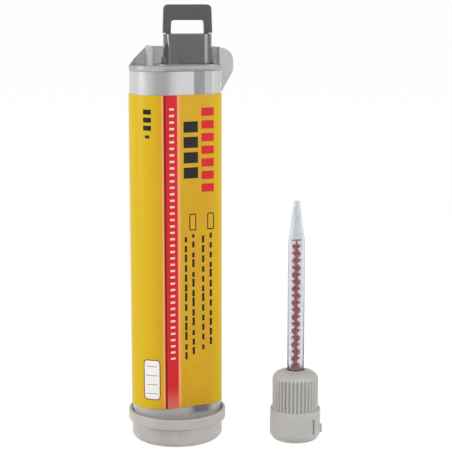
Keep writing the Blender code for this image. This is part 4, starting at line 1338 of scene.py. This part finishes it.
@dataclass
class Plunger:
    """The plunger: glossy neck on the thrust plate, matte pull loop, and the rods and pistons below."""

    shell: Shell
    neck_width: float = 15.9 * MM
    neck_depth: float = 8.0 * MM
    neck_corner: float = 3.6 * MM
    yoke_thickness: float = 2.1 * MM
    yoke_big: float = 5.2 * MM
    yoke_small: float = 2.7 * MM
    yoke_small_steps: int = 24
    yoke_big_steps: int = 40
    flange_top: float = 1.6 * MM
    lug_reach: float = 0.6 * MM
    lug_depth: float = 4.0 * MM
    lug_height: float = 2.4 * MM
    slit_width: float = 1.1 * MM
    slit_height: float = 7.6 * MM
    slit_point: float = 2.2 * MM
    slit_offset: float = 6.9 * MM
    slit_cut: float = 1.6 * MM
    rib_x: tuple[float, float] = (1.4 * MM, 2.7 * MM)
    rib_width: float = 0.35 * MM
    rib_height: float = 2.2 * MM
    rib_reach: float = 0.2 * MM
    tenon_inset: float = 1.15 * MM
    tenon_depth: float = 5.4 * MM
    tenon_play: float = 0.3 * MM
    loop_depth: float = 4.0 * MM
    loop_bar: float = 5.0 * MM
    loop_leg: float = 2.4 * MM
    loop_narrowing: float = 0.3 * MM
    loop_corner: float = 1.5 * MM
    loop_inner_corner: float = 0.9 * MM
    loop_edge: float = 0.38 * MM
    neck_edge: float = 0.3 * MM
    sink: float = 0.3 * MM
    over: float = 1.0 * MM

    def __post_init__(self) -> None:
        """Takes the neck's and the loop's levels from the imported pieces."""
        low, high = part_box("plunger_yoke")
        loop_low, loop_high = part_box("pull_loop")
        self.foot = low.z
        self.neck_top = high.z
        self.loop_top = loop_high.z
        self.centre_x = (loop_low.x + loop_high.x) / 2
        self.lug_foot = self.shell.top + self.flange_top + self.sink

    def yoke_outline(self) -> Outline:
        """Gives the thrust plate's plan.

        Returns:
            The outline.
        """
        big_x, small_x = self.shell.big_x, self.shell.small_x
        turn = acos((self.yoke_big - self.yoke_small) / (small_x - big_x))
        small, big = (small_x, self.yoke_small), (big_x, self.yoke_big)
        return two_lobes(small, big, turn, self.yoke_small_steps, self.yoke_big_steps)

    def slit(self) -> Piece:
        """Makes the cutter for the pointed slit in the neck's front.

        Returns:
            The cutter.
        """
        foot = self.lug_foot
        top = foot + self.slit_height
        x = self.centre_x - self.slit_offset
        half = self.slit_width / 2
        outline = [(x - half, foot), (x + half, foot), (x + half, top - self.slit_point)]
        bend = top - self.slit_point / 3
        outline += [(x + half / 2, bend), (x, top), (x - half / 2, bend)]
        outline.append((x - half, top - self.slit_point))
        front = -self.neck_depth / 2
        return slab("slit", outline, front - self.over, front + self.slit_cut)

    def build_neck(self) -> None:
        """Builds the thrust plate and the neck."""
        neck_plan = rounded_block(self.neck_width, self.neck_depth, self.neck_corner, self.centre_x, 14)
        neck = prism("plunger_neck", neck_plan, self.foot + self.sink, self.neck_top)
        foot = self.lug_foot
        lug_width = self.neck_width + 2 * self.lug_reach
        lug_plan = rounded_block(lug_width, self.lug_depth, self.lug_reach, self.centre_x)
        join(neck, prism("lugs", lug_plan, foot, foot + self.lug_height))
        join(neck, prism("yoke", self.yoke_outline(), self.foot, self.foot + self.yoke_thickness))
        play = 2 * self.tenon_play
        tenon = self.neck_width - 2 * self.tenon_inset + play
        slot = rounded_block(tenon, self.loop_depth + play, self.tenon_play, self.centre_x, 4)
        slot_foot = self.neck_top - self.tenon_depth - self.tenon_play
        cut(neck, prism("slot", slot, slot_foot, self.neck_top + self.over))
        cut(neck, self.slit())
        soften(neck, self.neck_edge, 3, 50.0)
        front = -self.neck_depth / 2
        for x in self.rib_x:
            low = (x - self.rib_width / 2, front - self.rib_reach, foot)
            join(neck, block("rib", low, (x + self.rib_width / 2, front + self.sink, foot + self.rib_height)))
        dress(neck, NECK_GREY.material(), Body.PLUNGER, "plunger_gloss", "plunger_yoke")

    def build_loop(self) -> None:
        """Builds the pull loop with its tenon."""
        half = self.neck_width / 2
        shoulder = self.neck_top + self.tenon_play
        tenon = half - self.tenon_inset
        foot = self.neck_top - self.tenon_depth
        narrow = self.loop_narrowing
        corners = [(-tenon, foot, 0.0), (tenon, foot, 0.0), (tenon, shoulder, 0.0), (half, shoulder, 0.0)]
        corners.append((half - narrow, self.loop_top, self.loop_corner))
        corners.append((narrow - half, self.loop_top, self.loop_corner))
        corners += [(-half, shoulder, 0.0), (-tenon, shoulder, 0.0)]
        outer = [(self.centre_x + x, z) for x, z in rounded(corners)]
        gap = half - self.loop_leg
        bar_foot = self.loop_top - self.loop_bar
        window = [(-gap, self.neck_top, self.tenon_play), (gap, self.neck_top, self.tenon_play)]
        window.append((gap - narrow / 2, bar_foot, self.loop_inner_corner))
        window.append((narrow / 2 - gap, bar_foot, self.loop_inner_corner))
        inner = [(self.centre_x + x, z) for x, z in rounded(window)]
        reach = self.loop_depth / 2
        loop = slab("matte_pull_loop", outer, -reach, reach)
        cut(loop, slab("window", inner, -reach - self.over, reach + self.over))
        soften(loop, self.loop_edge, 4, 40.0)
        dress(loop, LOOP_GREY.material(), Body.PLUNGER, "plunger_matte", "pull_loop")

    def build(self) -> None:
        """Builds the plunger's visible pieces and dresses the rods, pistons and seals."""
        self.build_neck()
        self.build_loop()
        for name in ("main_rod", "side_rod"):
            dress_node(name, ROD_GREY.material())
        for name in ("main_piston", "side_piston"):
            dress_node(name, PISTON_WHITE.material())
        for name in ("main_piston_front_seal", "main_piston_rear_seal", "side_piston_seal"):
            dress_node(name, SEAL_BLACK.material())


@dataclass
class BellNut:
    """The bell nut under the mixer: chamfered rim, plain collar, grip ribs, dome, slots and lug."""

    rim_step: float = 1.0 * MM
    chamfer: float = 1.7 * MM
    collar_top: float = 10.4 * MM
    rib_crest_step: float = 0.8 * MM
    rib_depth: float = 0.55 * MM
    rib_top: float = 20.6 * MM
    ribs: int = 36
    shoulder: float = 2.7 * MM
    neck_radius: float = 3.5 * MM
    bore: float = 3.1 * MM
    socket: float = 6.9 * MM
    socket_depth: float = 12.0 * MM
    slot_width: float = 0.8 * MM
    slot_cut: float = 0.55 * MM
    slot_foot: float = 2.6 * MM
    slot_top: float = 7.8 * MM
    slot_angle: float = radians(-53.0)
    lug_reach: float = 0.6 * MM
    lug_width: float = 2.4 * MM
    lug_top: float = 4.3 * MM
    lug_angle: float = radians(-5.0)
    columns: int = 432
    collar: float = 8.5 * MM
    groove_power: float = 2.2
    edge: float = 0.35 * MM
    lip: float = 0.2 * MM
    ease: float = 0.15 * MM
    turn_in: float = 0.12 * MM
    fine: float = 0.1 * MM
    crest_ease: float = 0.05 * MM
    slot_margin: float = 0.02 * MM
    lug_sink: float = 0.3 * MM
    lug_edge: float = 0.3 * MM
    land: float = 2.2 * MM
    chamber_radius: float = 6.3 * MM
    chamber_top: float = 16.7 * MM
    snap_radius: float = 5.5 * MM
    snap_top: float = 12.8 * MM

    def __post_init__(self) -> None:
        """Takes the bell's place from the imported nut."""
        tube_low, tube_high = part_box("mixer_tube")
        self.centre = ((tube_low.x + tube_high.x) / 2, (tube_low.y + tube_high.y) / 2)
        self.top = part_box("bell_nut")[1].z

    def profile(self) -> list[tuple[float, float, float]]:
        """Gives the bell's section from its rim up the outside and down the inside.

        Returns:
            (radius, height, share of the ribs' depth) of each row.
        """
        edge, ease, fine = self.edge, self.ease, self.fine
        collar, rim = self.collar, self.collar - self.rim_step
        crest = collar - self.rib_crest_step
        rows = [(rim - self.lip, 0.0, 0.0), (rim, ease, 0.0)]
        rows.append((collar - self.turn_in, self.chamfer - self.lip, 0.0))
        rows.append((collar, self.chamfer + ease, 0.0))
        for height in (self.slot_foot - ease, self.slot_foot, self.slot_top, self.slot_top + ease):
            rows.append((collar, height, 0.0))
        for radius, height in quarter((collar - edge, self.collar_top - edge), (edge, edge), 0.0, 5):
            rows.append((radius, height, 0.0))
        rows.append((crest + self.crest_ease, self.collar_top, 0.0))
        rows.append((crest, self.collar_top + fine, 1.0))
        for i in range(1, 8):
            rows.append((crest, self.collar_top + (self.rib_top - self.collar_top) * i / 8, 1.0))
        rows.append((crest, self.rib_top, 1.0))
        for i in range(1, 15):
            angle = pi / 2 * i / 15
            radius = self.neck_radius + (crest - self.neck_radius) * cos(angle)
            rows.append((radius, self.rib_top + self.shoulder * sin(angle), max(0.0, 1.0 - i / 4)))
        rows.append((self.neck_radius, self.rib_top + self.shoulder, 0.0))
        rows += [(self.neck_radius, self.top - fine, 0.0), (self.neck_radius - fine, self.top, 0.0)]
        rows += [(self.bore, self.top, 0.0), (self.bore, self.top - self.land, 0.0)]
        rows += [(self.chamber_radius, self.chamber_top, 0.0), (self.chamber_radius, self.snap_top, 0.0)]
        rows += [(self.snap_radius, self.snap_top, 0.0), (self.snap_radius, self.socket_depth, 0.0)]
        rows += [(self.socket, self.socket_depth, 0.0), (self.socket, ease, 0.0)]
        rows.append((self.socket + ease, 0.0, 0.0))
        return rows

    def flute(self, angle: float) -> float:
        """How deep the ribs' surface lies at an angle, from 0 on a crest to 1 in a groove."""
        wave = 0.5 - 0.5 * cos(self.ribs * angle)
        return wave ** self.groove_power

    def slot_share(self, angle: float, height: float, radius: float) -> float:
        """Finds how far the slots cut into the collar at a place.

        Args:
            angle: the place's angle.
            height: its height.
            radius: its radius.

        Returns:
            1 in a slot and 0 outside them.
        """
        inner = radius < self.collar - self.slot_margin
        if inner or not self.slot_foot <= height <= self.slot_top:
            return 0.0
        for turn in (0.0, pi):
            away = (angle - self.slot_angle - turn + pi) % (2 * pi) - pi
            if abs(away) * self.collar < self.slot_width / 2:
                return 1.0
        return 0.0

    def build(self) -> None:
        """Builds the bell and its lug."""
        bm = bmesh.new()
        rings = []
        for radius, height, ribbed in self.profile():
            ring = []
            for i in range(self.columns):
                angle = 2 * pi * i / self.columns
                reach = radius - ribbed * self.rib_depth * self.flute(angle)
                reach -= self.slot_cut * self.slot_share(angle, height, radius)
                place = (self.centre[0] + reach * cos(angle), self.centre[1] + reach * sin(angle), height)
                ring.append(bm.verts.new(place))
            rings.append(ring)
        for low, high in zip(rings, rings[1:] + rings[:1]):
            skin(bm, low, high)
        bell = object_from(bm, "ribbed_bell")
        lug = block(
            "lug",
            (self.socket + self.lug_sink, -self.lug_width / 2, self.chamfer),
            (self.collar + self.lug_reach, self.lug_width / 2, self.lug_top),
        )
        soften(lug, self.lug_edge, 3)
        lug.data.transform(Matrix.Rotation(self.lug_angle, 4, "Z"))
        lug.data.transform(Matrix.Translation((*self.centre, 0.0)))
        join(bell, lug)
        dress(bell, BELL_GREY.material(), Body.BELL, "bell_grey", "bell_nut")


@dataclass
class Mixer:
    """The mixer: its clear tube, the red spiral inside it, and the insert with its ring."""

    radius: float = 2.8 * MM
    bore: float = 1.85 * MM
    flange_radius: float = 5.9 * MM
    flange_thickness: float = 1.6 * MM
    cup_radius: float = 4.6 * MM
    cup_wall: float = 0.6 * MM
    cup_depth: float = 3.6 * MM
    cone_height: float = 5.8 * MM
    taper_length: float = 13.1 * MM
    tip_radius: float = 0.95 * MM
    tip_bore: float = 0.55 * MM
    element_count: int = 20
    element_pitch: float = 2.41 * MM
    element_width: float = 1.55 * MM
    element_thickness: float = 0.95 * MM
    element_hub: float = 0.5 * MM
    element_turn: float = radians(38.0)
    element_steps: int = 18
    bar_width: float = 3.3 * MM
    bar_height: float = 0.35 * MM
    bar_depth: float = 0.7 * MM
    bar_drop: float = 0.2 * MM
    stem: float = 0.5 * MM
    stem_sink: float = 0.4 * MM
    stem_lap: float = 0.1 * MM
    tip_edge: float = 0.12 * MM
    steps: int = 72

    def __post_init__(self) -> None:
        """Takes the tube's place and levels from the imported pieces."""
        low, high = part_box("mixer_tube")
        self.centre = ((low.x + high.x) / 2, (low.y + high.y) / 2)
        self.foot, self.tip = low.z, high.z
        self.element_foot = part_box("mixing_element")[0].z

    def build_tube(self) -> None:
        """Builds the tube: flange and cup, straight barrel and tapered tip."""
        cup_top = self.foot + self.cup_depth
        taper_foot = self.tip - self.taper_length
        cup = self.cup_radius + self.cup_wall
        edge = self.tip_edge
        profile = [(self.cup_radius, self.foot), (self.flange_radius, self.foot)]
        flange_top = self.foot + self.flange_thickness
        profile += [(self.flange_radius, flange_top), (cup, flange_top)]
        profile += [(cup, cup_top), (self.radius, cup_top + self.cone_height), (self.radius, taper_foot)]
        profile += [(self.tip_radius, self.tip - edge), (self.tip_radius - edge, self.tip)]
        profile += [(self.tip_bore + edge, self.tip), (self.tip_bore, self.tip - edge)]
        profile += [(self.bore, taper_foot), (self.bore, cup_top), (self.cup_radius, cup_top)]
        tube = lathe("clear_mixer_tube", profile, self.steps, self.centre)
        dress(tube, CLEAR_TUBE.material(), Body.MIXER, "clear_tube", "mixer_tube")

    def section(self, half_x: float, half_y: float, turn: float, height: float) -> list[Spot]:
        """Gives one turned, round-cornered section of the spiral.

        Args:
            half_x: its half width.
            half_y: its half thickness.
            turn: its angle.
            height: its height.

        Returns:
            Its points.
        """
        points = []
        for x, y in rounded_block(2 * half_x, 2 * half_y, min(half_x, half_y) * 0.6, 0.0, 2):
            place_x = self.centre[0] + x * cos(turn) - y * sin(turn)
            place_y = self.centre[1] + x * sin(turn) + y * cos(turn)
            points.append((place_x, place_y, height))
        return points

    def build_element(self) -> None:
        """Builds the spiral: half-turn blades of alternate hand, each set square to the last."""
        bm = bmesh.new()
        rings = []
        turn = self.element_turn
        thick = self.element_thickness / 2
        for i in range(self.element_count):
            foot = self.element_foot + i * self.element_pitch
            hand = 1 if i % 2 == 0 else -1
            start = turn + (0 if i % 2 == 0 else pi / 2)
            for k in range(self.element_steps + 1):
                share = k / self.element_steps
                fade = min(1.0, min(share, 1.0 - share) * 5.0)
                width = self.element_hub + (self.element_width - self.element_hub) * sqrt(fade)
                height = foot + self.element_pitch * (0.02 + 0.96 * share)
                rings.append(self.section(width, thick, start + hand * pi * share, height))
            turn += hand * pi
        top = self.element_foot + self.element_count * self.element_pitch
        rings = [[bm.verts.new(point) for point in ring] for ring in rings]
        for low, high in zip(rings, rings[1:]):
            skin(bm, low, high)
        bm.faces.new(list(reversed(rings[0])))
        bm.faces.new(rings[-1])
        element = object_from(bm, "red_mixing_spiral")
        bar_foot = self.tip - self.taper_length - self.bar_drop
        bar_top = bar_foot + self.bar_height
        stem = self.stem / 2
        join(element, self.rod("stem", stem, stem, top - self.stem_sink, bar_foot + self.stem_lap))
        join(element, self.rod("bar", self.bar_width / 2, self.bar_depth / 2, bar_foot, bar_top))
        dress(element, ELEMENT_RED.material(), Body.MIXER, "element_red", "mixing_element")

    def rod(self, name: str, half_x: float, half_y: float, foot: float, top: float) -> Piece:
        """Makes a small upright block on the mixer's axis."""
        x, y = self.centre
        return block(name, (x - half_x, y - half_y, foot), (x + half_x, y + half_y, top))

    def build(self) -> None:
        """Builds the tube and the spiral, and dresses the insert and its ring."""
        self.build_tube()
        self.build_element()
        dress_node("inlet_insert", PISTON_WHITE.material())
        dress_node("inlet_ring", SEAL_BLACK.material())


def stand(made: Piece, aim: Vector, azimuth: float, elevation: float, distance: float) -> None:
    """Stands a lamp or a camera round a point, facing it, and links it.

    Args:
        made: the lamp or camera.
        aim: the point that it faces.
        azimuth: its angle round the object, in degrees.
        elevation: its angle above the level, in degrees.
        distance: how far off it stands.
    """
    a, e = radians(azimuth), radians(elevation)
    back = Vector((sin(a) * cos(e), -cos(a) * cos(e), sin(e)))
    made.location = aim + back * distance
    made.rotation_euler = back.to_track_quat("Z", "Y").to_euler()
    bpy.context.scene.collection.objects.link(made)


@dataclass(frozen=True)
class SoftBox:
    """One soft lamp: where it stands round the object, its size and its power."""

    name: str
    azimuth: float
    elevation: float
    distance: float
    width: float
    height: float
    power: float

    def build(self, aim: Vector) -> None:
        """Adds the lamp.

        Args:
            aim: the point that it faces.
        """
        lamp = bpy.data.lights.new(self.name, "AREA")
        lamp.shape = "RECTANGLE"
        lamp.size = self.width
        lamp.size_y = self.height
        lamp.energy = self.power
        made = bpy.data.objects.new(self.name, lamp)
        stand(made, aim, self.azimuth, self.elevation, self.distance)


@dataclass
class Studio:
    """The plain studio: a pale floor, a white surround, soft lamps and the photograph's camera."""

    azimuth: float = -7.0
    elevation: float = 10.0
    distance: float = 0.45
    lens: float = 107.52
    aim: tuple[float, float, float] = (0.01654, -0.00203, 0.0723)
    floor_reach: float = 30.0
    surround: float = 0.37
    sensor: float = 36.0
    sight: float = 100.0
    floor_level: float = -0.1 * MM
    floor_cloud: float = 30.0
    floor_shade: Colour = (0.90, 0.90, 0.90)
    floor_light: Colour = (0.91, 0.91, 0.91)
    glow: float = 1.15
    glow_share: float = 0.8
    lamps: tuple[SoftBox, ...] = (
        SoftBox("left lamp", -78.0, 18.0, 0.7, 0.26, 0.7, 3.3),
        SoftBox("right lamp", 52.0, 18.0, 0.7, 0.42, 0.7, 3.0),
        SoftBox("front lamp", -10.0, 55.0, 0.9, 0.5, 0.4, 1.1),
    )

    def build_camera(self) -> None:
        """Adds the camera."""
        camera = bpy.data.cameras.new("camera")
        camera.lens = self.lens
        camera.sensor_width = self.sensor
        camera.clip_end = self.sight
        made = bpy.data.objects.new("camera", camera)
        stand(made, Vector(self.aim), self.azimuth, self.elevation, self.distance)
        bpy.context.scene.camera = made

    def seen(self, tree: bpy.types.NodeTree) -> Socket:
        """Finds whether a ray comes from the camera, a reflection or a clear piece.

        Args:
            tree: the node tree.

        Returns:
            1 for such a ray and 0 for the others.
        """
        path = tree.nodes.new("ShaderNodeLightPath")
        total = path.outputs["Is Camera Ray"]
        for name in ("Is Glossy Ray", "Is Transmission Ray"):
            add = tree.nodes.new("ShaderNodeMath")
            add.operation = "MAXIMUM"
            tree.links.new(total, add.inputs[0])
            tree.links.new(path.outputs[name], add.inputs[1])
            total = add.outputs[0]
        return total

    def build_world(self) -> None:
        """Sets the white surround, which lights the object at a plain level."""
        world = bpy.data.worlds.new("surround")
        world.use_nodes = True
        bpy.context.scene.world = world
        tree = world.node_tree
        tree.nodes.clear()
        light = tree.nodes.new("ShaderNodeBackground")
        light.inputs["Strength"].default_value = self.surround
        white = tree.nodes.new("ShaderNodeBackground")
        white.inputs["Strength"].default_value = 1.0
        for node in (light, white):
            node.inputs["Color"].default_value = (1.0, 1.0, 1.0, 1.0)
        mixer = tree.nodes.new("ShaderNodeMixShader")
        tree.links.new(self.seen(tree), mixer.inputs[0])
        tree.links.new(light.outputs[0], mixer.inputs[1])
        tree.links.new(white.outputs[0], mixer.inputs[2])
        output = tree.nodes.new("ShaderNodeOutputWorld")
        tree.links.new(mixer.outputs[0], output.inputs["Surface"])

    def build_floor(self) -> None:
        """Adds the pale floor, which shows white and keeps the object's shadow."""
        bm = bmesh.new()
        reach = self.floor_reach
        signs = ((-1, -1), (1, -1), (1, 1), (-1, 1))
        bm.faces.new([bm.verts.new((sx * reach, sy * reach, self.floor_level)) for sx, sy in signs])
        floor = object_from(bm, "floor")
        graph = Graph("floor_white")
        speck = graph.noise(graph.millimetres(), self.floor_cloud)
        diffuse = graph.node("ShaderNodeBsdfDiffuse")
        graph.put(diffuse.inputs["Color"], graph.mix(speck, self.floor_shade, self.floor_light))
        glow = graph.node("ShaderNodeEmission")
        graph.put(glow.inputs["Strength"], self.glow)
        mixer = graph.node("ShaderNodeMixShader")
        graph.put(mixer.inputs[0], graph.math("MULTIPLY", self.seen(graph.tree), self.glow_share))
        graph.put(mixer.inputs[1], diffuse.outputs[0])
        graph.put(mixer.inputs[2], glow.outputs[0])
        output = graph.node("ShaderNodeOutputMaterial")
        graph.put(output.inputs["Surface"], mixer.outputs[0])
        floor.data.materials.append(graph.material)

    def build(self) -> None:
        """Builds the studio."""
        bpy.context.scene.view_settings.view_transform = "Standard"
        self.build_camera()
        self.build_world()
        self.build_floor()
        for lamp in self.lamps:
            lamp.build(Vector(self.aim))


def main() -> None:
    """Builds the studio, then the pieces from the floor up."""
    logging.basicConfig(level=logging.INFO, format="%(name)s: %(message)s")
    Studio().build()
    shell = Shell()
    BaseCap().build()
    CartridgeBody(shell).build()
    PrintedWrap(shell).build()
    FingerFlange(shell).build()
    Plunger(shell).build()
    BellNut().build()
    Mixer().build()


if __name__ == "__main__":
    main()
